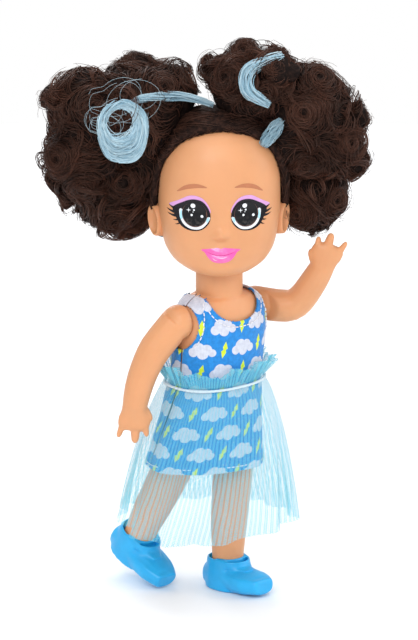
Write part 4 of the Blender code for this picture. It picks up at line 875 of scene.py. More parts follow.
def trimmed_sheet(name, points, material, thickness=CLOTH):
    """Cloth panel from a grid of points, cut cleanly along the neckline and armholes and given thickness."""
    rows, count = points.shape[:2]
    value = cut_value(points)
    moved = points.copy()
    for i in range(rows):
        for k in range(count):
            if value[i, k] >= 0:
                continue
            targets = []
            for di, dk in ((1, 0), (-1, 0), (0, 1), (0, -1)):
                a, b = i + di, k + dk
                if 0 <= a < rows and 0 <= b < count and value[a, b] > 0:
                    share = value[i, k] / (value[i, k] - value[a, b])
                    targets.append(points[i, k] + share * (points[a, b] - points[i, k]))
            if targets:
                moved[i, k] = np.mean(targets, axis=0)
    faces = []
    for i in range(rows - 1):
        for k in range(count - 1):
            corners = value[i : i + 2, k : k + 2]
            if (corners >= 0).any():
                a = i * count + k
                faces.append((a, a + 1, a + count + 1, a + count))
    obj = mesh_object(name, (moved + ORIGIN).reshape(-1, 3), faces, material)
    form = bmesh.new()
    form.from_mesh(obj.data)
    bmesh.ops.delete(form, geom=[vert for vert in form.verts if not vert.link_faces], context="VERTS")
    form.to_mesh(obj.data)
    form.free()
    solid = obj.modifiers.new("thickness", "SOLIDIFY")
    solid.thickness = thickness
    solid.offset = 1.0
    bake(obj)
    return obj


def stretch_folds(points, angles):
    """Small creases of the worn knit, deepest beside the arms and over the waist elastic."""
    z = points[..., 2]
    pull = bump_at(z, 0, WAIST_HEIGHT + 0.0070, 0, 0.0075, 1)
    wave = np.sin(9 * angles + 900 * z) * 0.5 + np.sin(17 * angles - 600 * z + 1.3) * 0.3
    low = np.clip((HIP_HEIGHT + 0.001 - z) / 0.012, 0, 1)
    return pull * wave * 0.00012 + low * (1 + np.sin(7 * angles + 0.8)) * 0.00020


def build_dress(material):
    """Front and back panels of the knit dress."""
    table = dress_table(0)
    flats = {}
    seam = 0.0003 / TORSO_HALF_WIDTH
    lap = CLOSURE_OVERLAP / TORSO_HALF_DEPTH / 2
    panels = (
        ("dress_front", math.pi + seam, 2 * math.pi - seam, 170, False),
        ("dress_back_left", seam, math.pi / 2 + lap, 96, True),
        ("dress_back_right", math.pi / 2 - lap, math.pi - seam, 96, False),
    )
    heights = np.linspace(table[0, 0], table[-1, 0], 190)
    values = hermite(table, heights)
    for node, start, end, steps, over in panels:
        angles = np.linspace(start, end, steps)[None, :]
        out = closure_lift(angles) if over else 0 * angles
        plain = body_points(values[:, None, :], angles, out)
        points = body_points(values[:, None, :], angles, out + stretch_folds(plain, angles))
        panel = trimmed_sheet(node + "_cloth", points, material)
        centre = 3 * math.pi / 2 if node == "dress_front" else math.pi / 2
        middle = float(np.interp(centre, angles[0], np.arange(steps)))
        flat_attribute(panel, points, flat_places(points, int(round(middle))))
        carried(panel, "torso", node)
        flats[node] = panel
    return flats


def flat_places(points, middle):
    """Place of each grid point on the flat cloth: length around from the middle column, and length up."""
    around = np.linalg.norm(np.diff(points, axis=1), axis=2)
    around = np.concatenate((np.zeros((len(points), 1)), np.cumsum(around, axis=1)), axis=1)
    around -= around[:, middle : middle + 1]
    up = np.linalg.norm(np.diff(points[:, middle], axis=0), axis=1)
    up = np.concatenate(([0], np.cumsum(up)))
    return np.stack((around, up[:, None] + 0 * around), -1)


def flat_attribute(obj, points, flat):
    """Keep each cloth vertex's place on the flat cloth, found from the nearest point of the uncut grid."""
    world = (points + ORIGIN).reshape(-1, 3)
    tree = KDTree(len(world))
    for i, point in enumerate(world):
        tree.insert(point, i)
    tree.balance()
    places = flat.reshape(-1, 2)
    attribute = obj.data.attributes.new("cloth_flat", "FLOAT_VECTOR", "POINT")
    for vert in obj.data.vertices:
        _, index, _ = tree.find(vert.co)
        attribute.data[vert.index].vector = (*places[index], 0)


def dress_material():
    """Knit jersey printed with white clouds and yellow bolts in a simple repeat, darkened between the knit loops as
    painted shade.
    """
    shader = Shader("dress_knit", 0.82)
    place = shader.flat_cloth()
    u, v, _ = shader.split(place)
    wobble = shader.math("SUBTRACT", shader.noise(260.0, 2.0, place), 0.5)
    u = shader.math("ADD", u, shader.math("MULTIPLY", wobble, 0.0004))
    row = shader.math("ROUND", shader.math("DIVIDE", v, PRINT_ROW))
    low = shader.math("SUBTRACT", v, shader.math("MULTIPLY", row, PRINT_ROW))
    shifted = shader.math("SUBTRACT", u, shader.math("MULTIPLY", row, PRINT_STEP))
    across = shader.math("WRAP", shifted, PRINT_STEP, -PRINT_STEP)
    cloud = cloud_shape(shader, across, low)
    beside = shader.math("WRAP", shader.math("SUBTRACT", shifted, PRINT_STEP), PRINT_STEP, -PRINT_STEP)
    bolt = bolt_shape(shader, beside, low)
    grain = shader.ramp(shader.noise(900.0, 3.0, place), 0.3, 0.7)
    blue = shader.mix(grain, (0.008, 0.215, 0.62), (0.013, 0.28, 0.76))
    white = shader.mix(grain, (0.60, 0.63, 0.74), (0.72, 0.75, 0.85))
    yellow = shader.mix(grain, (0.62, 0.80, 0.02), (0.80, 0.95, 0.06))
    colour = shader.mix(bolt, shader.mix(cloud, blue, white), yellow)
    wales = shader.math("SINE", shader.math("MULTIPLY", u, 2 * math.pi / 0.00034))
    rib = shader.math("ABSOLUTE", wales)
    slant = shader.math("ADD", shader.math("DIVIDE", v, 0.00030), shader.math("MULTIPLY", rib, 0.45))
    loops = shader.math("SINE", shader.math("MULTIPLY", slant, 2 * math.pi))
    weave = shader.math("ADD", shader.math("MULTIPLY", wales, 0.6), shader.math("MULTIPLY", loops, 0.4))
    # The colour is darkened where the knit dips between its loops: painted shade
    shade = shader.ramp(weave, -1.0, 0.6, 0.80, 1.0)
    multiply = {"data_type": "RGBA", "blend_type": "MULTIPLY"}
    dark = shader.node("Mix", out=2, settings=multiply, i0=1.0, i6=colour)
    joined = shader.tree.nodes.new("ShaderNodeCombineColor")
    for k in range(3):
        shader.put(joined.inputs[k], shade)
    shader.put(dark.node.inputs[7], joined.outputs[0])
    shader.set(Base_Color=dark)
    shader.set(Sheen_Weight=0.25)
    shader.set(Sheen_Roughness=0.4)
    shader.bump(weave, 0.35, 0.00006)
    return shader.material


PRINT_ROW = 0.0055
PRINT_STEP = 0.0053
# Sideways and upwards place and radius of each round of a cloud, in metres
CLOUD_ROUNDS = (
    (-0.0021, -0.0005, 0.00115),
    (-0.0008, 0.0005, 0.00150),
    (0.0010, 0.0003, 0.00135),
    (0.0023, -0.0005, 0.00100),
    (0.0001, -0.0008, 0.00130),
)
# Corners of the upper half of a bolt; the lower half mirrors it about the bolt's centre
BOLT_HALF = ((-0.00022, -0.00035), (0.00085, 0.00022), (0.00042, 0.00205), (-0.00045, 0.00075))


def soft_inside(shader, distance, width=0.00007):
    """Share that rises from 0 to 1 across an edge where the distance is zero."""
    return shader.ramp(distance, -width, width)


def cloud_shape(shader, across, low):
    """A cloud of overlapping rounds."""
    inside = None
    for x, z, radius in CLOUD_ROUNDS:
        dx = shader.math("SUBTRACT", across, x)
        dz = shader.math("SUBTRACT", low, z)
        square = shader.math("ADD", shader.math("MULTIPLY", dx, dx), shader.math("MULTIPLY", dz, dz))
        value = shader.math("SUBTRACT", radius, shader.math("SQRT", square))
        inside = value if inside is None else shader.math("MAXIMUM", inside, value)
    return soft_inside(shader, inside)


def bolt_shape(shader, across, low):
    """An upright lightning bolt made of two mirrored slivers."""
    total = None
    for sign in (1, -1):
        x = shader.math("MULTIPLY", across, sign)
        z = shader.math("MULTIPLY", low, sign)
        inside = None
        for (ax, az), (bx, bz) in zip(BOLT_HALF, BOLT_HALF[1:] + BOLT_HALF[:1]):
            length = math.hypot(bx - ax, bz - az)
            nx, nz = -(bz - az) / length, (bx - ax) / length
            value = shader.math("ADD", shader.math("MULTIPLY", x, nx), shader.math("MULTIPLY", z, nz))
            value = shader.math("SUBTRACT", value, nx * ax + nz * az)
            inside = value if inside is None else shader.math("MINIMUM", inside, value)
        total = inside if total is None else shader.math("MAXIMUM", total, inside)
    return soft_inside(shader, total, 0.00005)


# Net overskirt
NET_WIDTH = 0.150
NET_PITCH = 0.0014
NET_RISE = 0.00085
SKIRT_HEM = (HIP_HEIGHT - 0.0275, 0.0208, 0.0190, 0.0050, math.radians(-20))
SKIRT_FOLDS = 11
SKIRT_FULLNESS = 0.62
SKIRT_HEM_LIFT = 0.0016
SKIRT_LIFT_TOWARD = math.radians(-42)
RUFFLE_HEIGHT = 0.0048


def waist_values(ease):
    table = dress_table(ease)
    return np.array((WAIST_HEIGHT, *(np.interp(WAIST_HEIGHT, table[:, 0], table[:, k]) for k in range(1, 5))))


def net_points(start, end, rows, count, power, fold, bulge_fade, rim=0.0):
    """Gathered cloth between two sections: points and their places on the flat net."""
    share = np.linspace(0, 1, rows)[:, None]
    angles = np.linspace(0, 2 * np.pi, count)[None, :]
    spread = share**power
    shares = (share, spread, spread, share, share)
    values = np.stack([a + (b - a) * grown for a, b, grown in zip(start, end, shares)], -1)
    out = fold(share, angles) + closure_bulge(angles) * (1 - share * bulge_fade)
    points = body_points(values, angles, out)
    points[..., 2] += rim * share * np.sin(7 * angles + 1.0) * np.cos(3 * angles)
    up = (end[0] - start[0]) * share * 1.08 + 0 * angles
    return points, np.stack((angles / (2 * np.pi) * NET_WIDTH + 0 * share, up), -1)


def skirt_fold(share, angles):
    """Folds of the hanging net, with finer gathers under the elastic."""
    wave = np.cos(SKIRT_FOLDS * angles + 0.5 * np.sin(2 * angles)) + 0.35 * np.cos(3 * angles + 1.0)
    fine = np.sin(37 * angles + 2 * np.sin(5 * angles)) * np.exp(-share * 4) * 0.00016
    second = np.sin(23 * angles + 1.7 * np.sin(3 * angles) + 0.7) * 0.00035 * share**0.7
    return 0.0019 * share * wave * 0.74 + fine * share**0.3 + second


def ruffle_fold(share, angles):
    wave = np.cos(16 * angles + 0.5 * np.sin(2 * angles)) + 0.35 * np.cos(3 * angles + 1.0)
    fine = np.sin(41 * angles + 2.3 * np.sin(4 * angles))
    return 0.0012 * share * wave * 0.74 + 0.00060 * share * fine


def inner_fold(share, angles):
    """Folds of the ruffle's inner layer, flatter than those outside."""
    return 0.45 * ruffle_fold(share, angles)


def cloth_object(name, points, flat, material):
    """One open cloth surface from a grid of points with its places on the flat cloth."""
    rows, count = points.shape[:2]
    faces = grid_faces(rows, count, closed=False)
    obj = mesh_object(name, (points + ORIGIN).reshape(-1, 3), faces, material)
    attribute = obj.data.attributes.new("cloth_flat", "FLOAT_VECTOR", "POINT")
    places = np.concatenate((flat.reshape(-1, 2), np.zeros((rows * count, 1))), 1)
    attribute.data.foreach_set("vector", places.astype(np.float32).ravel())
    return obj


def net_material(name, cover=0.5):
    """Open knitted net with a shiny thread: clear between its zigzag threads."""
    shader = Shader(name, 0.32)
    place = shader.flat_cloth()
    u, v, _ = shader.split(place)
    bend = shader.math("MULTIPLY", shader.math("SUBTRACT", shader.noise(120.0, 2.0, place), 0.5), 0.0010)
    column = shader.math("DIVIDE", shader.math("ADD", u, bend), NET_PITCH)
    inside = shader.math("SUBTRACT", shader.math("FRACT", column), 0.5)
    rise = shader.math("DIVIDE", v, NET_RISE)
    zigzag = shader.math("MULTIPLY", shader.math("PINGPONG", rise, 0.5), 2.0)
    near = None
    for sign, offset in ((1, -0.30), (-1, 0.30)):
        path = shader.math("ADD", shader.math("MULTIPLY", zigzag, 0.62 * sign), offset)
        value = shader.math("ABSOLUTE", shader.math("SUBTRACT", inside, path))
        near = value if near is None else shader.math("MINIMUM", near, value)
    thread = shader.ramp(near, cover * 0.14, cover * 0.27, 1.0, 0.0)
    edge = shader.math("ABSOLUTE", inside)
    seam = shader.ramp(edge, 0.44, 0.49)
    mesh = shader.math("MAXIMUM", thread, shader.math("MULTIPLY", seam, 0.60))
    film = shader.math("MAXIMUM", mesh, cover * 0.14)
    glitter = shader.ramp(shader.noise(2600.0, 1.0, place), 0.60, 0.72)
    shader.set(Alpha=shader.math("MULTIPLY", film, 0.80))
    shader.set(Base_Color=shader.mix(glitter, (0.15, 0.62, 0.78), (0.80, 0.97, 1.0)))
    shader.set(Roughness=shader.ramp(glitter, 0.0, 1.0, 0.45, 0.16))
    shader.set(Metallic=shader.math("MULTIPLY", glitter, 0.35))
    shader.bump(thread, 0.5, 0.00012)
    return shader.material


def build_skirt():
    """Net overskirt and ruffle header."""
    net = net_material("net_lurex", 0.5)
    frill = net_material("net_frill", 0.62)
    inner = CLOTH + 0.0003
    waist = waist_values(inner)
    below = np.array((WAIST_HEIGHT - 0.0003, *waist[1:]))
    points, flat = net_points(below, SKIRT_HEM, 120, 720, SKIRT_FULLNESS, skirt_fold, 1.0)
    share = np.linspace(0, 1, 120)[:, None]
    toward = (1 + np.cos(2 * np.linspace(0, 2 * np.pi, 720)[None, :] - 2 * SKIRT_LIFT_TOWARD)) / 2
    points[..., 2] += SKIRT_HEM_LIFT * share * toward**2
    skirt = carried(cloth_object("skirt_net_cloth", points, flat, net), "torso", "skirt_net")
    above = np.array((WAIST_HEIGHT + 0.0003, *waist[1:]))
    crest = waist_values(inner + 0.0022)
    crest[0] = WAIST_HEIGHT + RUFFLE_HEIGHT
    rows, count, rim = 30, 720, 0.0011
    outer, flat = net_points(above, crest, rows, count, 1.0, ruffle_fold, 0.0, rim)
    inside, again = net_points(above, crest, rows, count, 1.0, inner_fold, 0.0, rim)
    inside[-1] = outer[-1]
    again[..., 1] = 2 * RUFFLE_HEIGHT - again[..., 1]
    points = np.concatenate((outer, inside[::-1][1:]))
    flat = np.concatenate((flat, again[::-1][1:]))
    ruffle = carried(cloth_object("skirt_ruffle_cloth", points, flat, frill), "torso", "skirt_ruffle")


# Hair, in the head's own space in millimetres
PUFF_LOBES = {
    "right": (
        (-0.53, 0.08, 0.985, 0.365),
        (-0.80, 0.10, 0.77, 0.320),
        (-0.67, 0.16, 0.475, 0.285),
        (-0.825, 0.09, 1.015, 0.285),
        (-0.45, 0.12, 0.68, 0.240),
        (-0.335, 0.12, 1.08, 0.230),
    ),
    "left": (
        (0.20, 0.05, 1.150, 0.280),
        (0.555, 0.08, 0.99, 0.320),
        (0.685, 0.12, 0.79, 0.270),
        (0.60, 0.24, 0.415, 0.262),
        (0.065, 0.06, 1.215, 0.168),
        (0.42, 0.07, 0.82, 0.240),
    ),
}
LOBE_DEPTH = 0.90
CORE_SHARE = 0.93
# Round curls that the photograph shows: pixel column and row, radius in millimetres, and way round
SEEN_CURLS = {
    "right": (
        (92, 104, 5.2, 1),
        (58, 158, 5.4, -1),
        (80, 186, 5.0, 1),
        (160, 86, 5.0, -1),
        (124, 182, 5.6, -1),
        (112, 218, 4.4, 1),
    ),
    "left": (
        (304, 112, 4.8, 1),
        (307, 161, 5.8, -1),
        (350, 142, 4.4, 1),
        (318, 76, 5.2, -1),
        (226, 76, 4.6, 1),
        (336, 200, 4.4, 1),
        (300, 214, 4.4, -1),
    ),
}
# How far hair stands off the lobes of a puff, and off the box of the CAD model
LOOSE_REACH = 0.0012
BOX_REACH = 0.0013
RINGLETS = 120
RINGLET_FIBRES = 11
SCALP_STRANDS = 3000
# The cap of hair ends above the ears in front of this place, and falls to the nape behind it
CAP_EDGE_HEIGHT = 0.0118
CAP_EDGE_START = 0.0040
CAP_EDGE_RUN = 0.0040
# Blue locks: points as shares of the head's height with y backwards, radius in metres, and fibres
STREAKS = {
    "hair_streak_strand": (
        (
            (-0.60, -0.20, 1.12),
            (-0.50, -0.20, 1.165),
            (-0.28, -0.11, 1.15),
            (-0.16, -0.08, 1.125),
            (-0.04, -0.06, 1.08),
        ),
        0.0011,
        80,
    ),
    "hair_streak_arc": (
        ((0.39, -0.10, 1.40), (0.18, -0.20, 1.34), (0.165, -0.26, 1.22), (0.30, -0.24, 1.12)),
        0.0017,
        120,
    ),
    "hair_streak_root": (((0.26, -0.21, 0.84), (0.325, -0.17, 0.92), (0.385, -0.13, 0.99)), 0.0017, 110),
}
RING_PLACE = (-0.64, -0.285, 1.00)
RING_FACING = (0.25, -1.0, 0.1)
RING_HALF_WIDTH = 0.0067
RING_HALF_HEIGHT = 0.0088
RING_HOLE = 0.0034
RING_HOLE_RISE = 0.0013
RING_DEPTH = 0.0016
RING_FIBRES = 330
# Where the ring is thickest, as an angle from the doll's right towards up, and its loose loops above
RING_HEAVY = math.radians(235)
RING_LOOSE_LOOPS = 14
RING_LOOSE_RISE = 0.0070
VIEW_RIGHT = np.array((0.743, -0.669, 0.0))
VIEW_UP = np.array((0.1846, 0.2051, 0.961))
VIEW_TOWARD = np.array((-0.643, -0.714, 0.276))
VIEW_TARGET = np.array((-0.00175, 0.00157, 0.0694))
CAMERA_DISTANCE = 2.0
# The pixel column and row of the doll's own origin in the photograph, and metres for one pixel
PHOTO_MIDDLE = 218.8
PHOTO_FLOOR = 598.0
PHOTO_SCALE = 0.00024


def unit(vector):
    vector = np.asarray(vector, float)
    return vector / np.linalg.norm(vector, axis=-1, keepdims=True)


def world_to_head(points):
    turn = np.array(Matrix.Rotation(HEAD_TURN, 3, "Z"))
    return (np.asarray(points, float) - HEAD_BASE) @ turn


def photo_ray(px, py):
    """Start and direction, in world metres, of the sight line through a pixel of the photograph."""
    across = (px - PHOTO_MIDDLE) * PHOTO_SCALE
    above = (PHOTO_FLOOR - py) * PHOTO_SCALE
    near = across * VIEW_RIGHT + above * VIEW_UP
    eye = VIEW_TARGET + CAMERA_DISTANCE * unit(VIEW_TOWARD)
    return eye + ORIGIN, unit(near - eye)


def tubes_object(name, tubes, material, sides=3):
    """Many thin tubes in one mesh; each tube is (points in metres, radii in metres, tone)."""
    points, faces, tones, around = [], [], [], []
    first = 0
    ring = 2 * np.pi * np.arange(sides) / sides
    for route, radii, tone in tubes:
        route = np.asarray(route)
        count = len(route)
        along = unit(np.gradient(route, axis=0) + 1e-12)
        reference = carried_frame(along)
        other = np.cross(along, reference)
        radii = np.broadcast_to(radii, (count,))[:, None, None]
        offset = np.cos(ring)[None, :, None] * reference[:, None, :]
        offset = offset + np.sin(ring)[None, :, None] * other[:, None, :]
        points.append((route[:, None, :] + radii * offset).reshape(-1, 3))
        tones.append(np.full(count * sides, tone))
        around.append(np.tile(ring / (2 * np.pi), count))
        base = first + np.arange(count - 1)[:, None] * sides
        i = np.arange(sides)[None, :]
        j = (i + 1) % sides
        quads = np.stack((base + i, base + j, base + sides + j, base + sides + i), -1).reshape(-1, 4)
        faces.append(quads)
        first += count * sides
    points = np.concatenate(points)
    faces = np.concatenate(faces)
    mesh = bpy.data.meshes.new(name)
    mesh.vertices.add(len(points))
    mesh.vertices.foreach_set("co", points.astype(np.float32).ravel())
    mesh.loops.add(faces.size)
    mesh.loops.foreach_set("vertex_index", faces.astype(np.int32).ravel())
    mesh.polygons.add(len(faces))
    mesh.polygons.foreach_set("loop_start", (4 * np.arange(len(faces))).astype(np.int32))
    mesh.update(calc_edges=True)
    mesh.shade_smooth()
    for label, values in (("tone", np.concatenate(tones)), ("around", np.concatenate(around))):
        attribute = mesh.attributes.new(label, "FLOAT", "POINT")
        attribute.data.foreach_set("value", values.astype(np.float32))
    mesh.materials.append(material)
    return linked(name, mesh)


def carried_frame(along):
    """A direction square to a route, carried along it without twisting."""
    current = np.array((0.3, 0.5, 0.8))
    if abs(along[0] @ unit(current)) >= 0.9:
        current = np.array((1.0, 0, 0))
    out = np.empty_like(along)
    for i, direction in enumerate(along):
        current = current - direction * (direction @ current)
        current = current / max(np.linalg.norm(current), 1e-9)
        out[i] = current
    return out


def hair_material(name, dark, bright, roughness=0.36):
    """Fine synthetic hair: each strand has its own tone, partly real variety and, on the puffs' outer strands, painted
    highlight, with a soft sheen along it.
    """
    shader = Shader(name, roughness)
    tone = shader.node("Attribute", out=2, settings={"attribute_name": "tone"})
    patches = shader.ramp(shader.noise(160.0, 3.0), 0.35, 0.75)
    share = shader.math("MULTIPLY", shader.math("ADD", tone, shader.math("MULTIPLY", patches, 0.35)), 0.75)
    shader.set(Base_Color=shader.mix(share, dark, bright))
    shader.set(Specular_IOR_Level=0.25)
    shader.set(Specular_Tint=(1.0, 0.80, 0.68))
    shader.set(Anisotropic=0.5)
    shader.bump(shader.noise(3000.0, 2.0), 0.15, 0.00005)
    return shader.material


def core_material(name, dark, bright):
    """The dense hair under the loose strands, grooved by a fine streaky bump."""
    shader = Shader(name, 0.7)
    shader.set(Specular_IOR_Level=0.08)
    streaks = shader.node("TexNoise", out=0, Scale=900.0, Detail=4.0, Roughness=0.7)
    shader.put(streaks.node.inputs["Vector"], shader.place())
    tone = shader.ramp(streaks, 0.4, 0.7)
    shader.set(Base_Color=shader.mix(tone, dark, bright))
    shader.bump(streaks, 0.8, 0.0004)
    return shader.material


def ball(form, centre, radii):
    place = Matrix.Translation(Vector(centre)) @ Matrix.Diagonal((*radii, 1))
    bmesh.ops.create_uvsphere(form, u_segments=24, v_segments=16, radius=1.0, matrix=place)


def core_from(form, name, material, voxel, rounds):
    """Turn joined balls in world metres into one smooth body of hair."""
    mesh = bpy.data.meshes.new(name)
    form.to_mesh(mesh)
    form.free()
    return rounded_mesh(name, mesh, material, voxel, rounds)


def lobe_balls(side, shrink):
    form = bmesh.new()
    for x, y, z, radius in PUFF_LOBES[side]:
        size = radius * HEAD_HEIGHT * shrink
        ball(form, head_to_world(np.array((x, y, z)) * HEAD_HEIGHT), (size * 0.97, size * 0.92, size))
    return form


def surface_of(obj):
    """Search tree of an object's faces."""
    faces = [tuple(face.vertices) for face in obj.data.polygons]
    return BVHTree.FromPolygons([vert.co for vert in obj.data.vertices], faces)


def curl_places(side, tree):
    """Centres, outward axes, radii and ways round of a puff's curls, in world metres."""
    curls = []
    for px, py, radius, way in SEEN_CURLS[side]:
        eye, direction = photo_ray(px, py)
        hit, normal, _, _ = tree.ray_cast(Vector(eye), Vector(direction))
        if hit is None:
            hit, normal, _, _ = tree.find_nearest(Vector(eye + direction * CAMERA_DISTANCE))
        axis = unit(np.array(normal) + 0.5 * unit(VIEW_TOWARD))
        curls.append((np.array(hit), axis, radius * MM, way))
    lobes = [(np.array(lobe[:3]) * HEAD_HEIGHT, lobe[3] * HEAD_HEIGHT) for lobe in PUFF_LOBES[side]]
    for n, (centre, size) in enumerate(lobes):
        for direction in unit(RNG.normal(0, 1, (9, 3))):
            point = centre + direction * size * (1, LOBE_DEPTH, 1) * CORE_SHARE
            radius = size * RNG.uniform(0.26, 0.50)
            others = lobes[:n] + lobes[n + 1 :]
            if any(np.linalg.norm(point - other) < reach * 0.8 for other, reach in others):
                continue
            if inside_head(point, 0.004):
                continue
            world = head_to_world(point)
            if any(np.linalg.norm(world - other[0]) < 0.70 * (radius + other[2]) for other in curls):
                continue
            axis = unit(head_to_world(point + direction * 0.001) - world + RNG.normal(0, 0.25, 3))
            curls.append((world, axis, radius, RNG.choice((-1, 1))))
    return curls


def inside_head(point, margin):
    """Whether a point in the head's space is inside the head grown by a margin."""
    x, y, z = point
    middle = 0.52 * HEAD_HEIGHT
    depth = HEAD_FRONT if y < 0 else HEAD_BACK
    across, along = x / (HEAD_HALF_WIDTH + margin), y / (depth + margin)
    return across**2 + along**2 + ((z - middle) / (middle + margin)) ** 2 < 1


def puff_core(side, material):
    """The dense heart of a puff with a low mound under each curl, and its curls."""
    plain = core_from(lobe_balls(side, CORE_SHARE), "puff_guide", material, 0.0008, 4)
    curls = curl_places(side, surface_of(plain))
    bpy.data.objects.remove(plain, do_unlink=True)
    form = lobe_balls(side, CORE_SHARE - 0.04)
    for centre, axis, radius, _ in curls:
        place = Vector(centre - axis * radius * 0.62)
        turn = Vector(axis).to_track_quat("Z", "Y").to_matrix().to_4x4()
        size = Matrix.Diagonal((radius * 0.95, radius * 0.95, radius * 0.80, 1))
        matrix = Matrix.Translation(place) @ turn @ size
        bmesh.ops.create_uvsphere(form, u_segments=20, v_segments=12, radius=1.0, matrix=matrix)
    obj = core_from(form, f"hair_puff_{side}_core", material, 0.0006, 5)
    for vert in obj.data.vertices:
        point = np.array(vert.co)
        swell = np.sin(point * 1100 + np.array((0, 2, 4))).sum() + np.sin(point[[1, 2, 0]] * 1900).sum() * 0.6
        vert.co = vert.co + vert.normal * float(swell) * 0.00012
    draw_in_mesh(obj, side)
    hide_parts(f"hair_puff_{side}")
    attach(obj, "head")
    return obj, curls


def draw_in(points, side, reach=LOOSE_REACH):
    """Draw points that stray off a puff's lobes back towards them, and into the doll's own box."""
    shape = points.shape
    flat = world_to_head(points.reshape(-1, 3))
    lobes = np.array(PUFF_LOBES[side]) * HEAD_HEIGHT
    away = flat[:, None, :] - lobes[None, :, :3]
    distance = np.linalg.norm(away, axis=2)
    beyond = distance - lobes[None, :, 3]
    nearest = beyond.argmin(1)
    rows = np.arange(len(flat))
    over = beyond[rows, nearest] - reach
    kept = lobes[nearest, 3] + reach + 0.3 * over
    pulled = lobes[nearest, :3] + away[rows, nearest] * (kept / distance[rows, nearest])[:, None]
    world = head_to_world(np.where(over[:, None] > 0, pulled, flat))
    for side_of_box, sign in ((CAD_BOX[0], -1), (CAD_BOX[1], 1)):
        over = (world - np.array(side_of_box)) * sign - BOX_REACH / 3
        eased = np.tanh(np.maximum(over, 0) / BOX_REACH) * BOX_REACH
        world = np.where(over > 0, world - sign * (over - eased), world)
    return world.reshape(shape)


def draw_in_mesh(obj, side):
    points = np.array([vert.co for vert in obj.data.vertices])
    obj.data.vertices.foreach_set("co", draw_in(points, side).ravel())
    obj.data.update()


def nearest_rows(tree, points):
    """Nearest surface points and normals for rows of points."""
    places, normals = np.empty_like(points), np.empty_like(points)
    for i, point in enumerate(points):
        hit, normal, _, _ = tree.find_nearest(Vector(point))
        places[i] = hit
        normals[i] = normal
    return places, normals


def swirl_field(curls, root):
    """Direction in which the hair lies at points: around the curls, and away from the root between them."""
    centres = np.array([curl[0] for curl in curls])
    axes = np.array([curl[1] for curl in curls])
    radii = np.array([curl[2] for curl in curls])
    ways = np.array([curl[3] for curl in curls])

    def field(points, normals):
        away = points[:, None, :] - centres[None]
        distance = np.linalg.norm(away, axis=2) + 1e-9
        around = np.cross(np.broadcast_to(axes[None], away.shape), away) * ways[None, :, None]
        around = around / distance[..., None]
        inward = -away / distance[..., None]
        weight = np.exp(-((distance / (0.90 * radii[None])) ** 2)) * 2.6
        flow = ((around + 0.22 * inward) * weight[..., None]).sum(1)
        flow += unit(points - root) * 0.55
        turned = [np.roll(points, -k, axis=1) for k in range(3)]
        wave = [np.sin(place[:, 1] * 520 + 2.1 * k) + np.sin(place[:, 2] * 830) for k, place in enumerate(turned)]
        flow += 0.20 * np.stack(wave, 1)
        flow -= normals * (flow * normals).sum(1)[:, None]
        return unit(flow + 1e-9)

    return field


def surface_points(obj, count):
    """Random points spread evenly over a mesh."""
    mesh = obj.data
    areas = np.array([face.area for face in mesh.polygons])
    picks = RNG.choice(len(areas), count, p=areas / areas.sum())
    centres = np.array([mesh.polygons[int(i)].center for i in picks])
    return centres + RNG.normal(0, 0.0002, centres.shape)


def laid_strands(obj, field, count, steps, stride, lift, keep=None):
    """Strands that follow a field over a surface; lift gives each one its height along the way."""
    tree = surface_of(obj)
    starts = surface_points(obj, count)
    if keep is not None:
        starts = np.array([point for point in starts if keep(point)])
    count = len(starts)
    strides = stride * RNG.uniform(0.7, 1.2, count)[:, None]
    rows, ups = [], []
    points, normals = nearest_rows(tree, starts)
    jitter = RNG.normal(0, 0.24, (count, 3))
    for _ in range(steps):
        rows.append(points)
        ups.append(normals)
        direction = field(points, normals) + jitter
        direction = unit(direction - normals * (direction * normals).sum(1)[:, None])
        points, normals = nearest_rows(tree, points + direction * strides)
    rows, ups = np.array(rows), np.array(ups)
    t = np.linspace(0, 1, steps)[:, None, None]
    heights = lift(t, count)
    return np.swapaxes(rows + ups * heights, 0, 1)


def low_lift(t, count):
    base = RNG.uniform(-0.00005, 0.00040, (1, count, 1))
    arch = RNG.uniform(0, 0.00050, (1, count, 1))
    return base - 0.0004 * (1 - np.sin(np.pi * t) ** 0.5) + arch * np.sin(np.pi * t)


def high_lift(t, count):
    base = RNG.uniform(0.00010, 0.00080, (1, count, 1))
    ends = RNG.uniform(-0.0006, 0.0018, (1, count, 1))
    wave = RNG.normal(0, 0.00030, (1, count, 1))
    return base + ends * t**2 + wave * np.sin(7 * t) - 0.0005 * np.exp(-t * 14)


def as_tubes(routes, radius, tone_low, tone_high):
    taper = np.sin(np.pi * np.linspace(0.06, 0.94, routes.shape[1])) ** 0.5
    return [
        (route, radius * RNG.uniform(0.7, 1.2) * taper, RNG.uniform(tone_low, tone_high))
        for route in routes
    ]


def free_faces(core, count, margin):
    """Centres and normals of random faces of a puff that don't lie against the head."""
    mesh = core.data
    for pick in RNG.integers(0, len(mesh.polygons), count):
        face = mesh.polygons[int(pick)]
        if not inside_head(world_to_head(np.array(face.center)), margin):
            yield np.array(face.center), np.array(face.normal)


def frizz_tubes(core, side, count):
    """Loose hairs that loop off the surface of a puff."""
    tubes = []
    for centre, normal in free_faces(core, count, 0.0035):
        along = unit(np.cross(normal, RNG.normal(0, 1, 3)))
        across = np.cross(normal, along)
        size = RNG.uniform(0.0012, 0.0042)
        t = np.linspace(0, 1, 18)
        angle = 2 * np.pi * RNG.uniform(0.35, 1.0) * t + RNG.uniform(0, 6.3)
        lean = RNG.uniform(0.15, 0.60)
        grow = (size * (0.5 + 0.5 * t))[:, None]
        route = centre + np.cos(angle)[:, None] * along * grow
        route = route + np.sin(angle)[:, None] * (normal * lean + across * (1 - lean)) * grow
        route = route + along * (t[:, None] - 0.5) * RNG.uniform(0, 0.003) + normal * RNG.uniform(0, 0.0010)
        # Loose hairs take the lighter tones: painted highlight on the outermost hair
        tubes.append((draw_in(route, side, 0.0024), 0.00004, RNG.uniform(0.4, 1.0)))
    return tubes


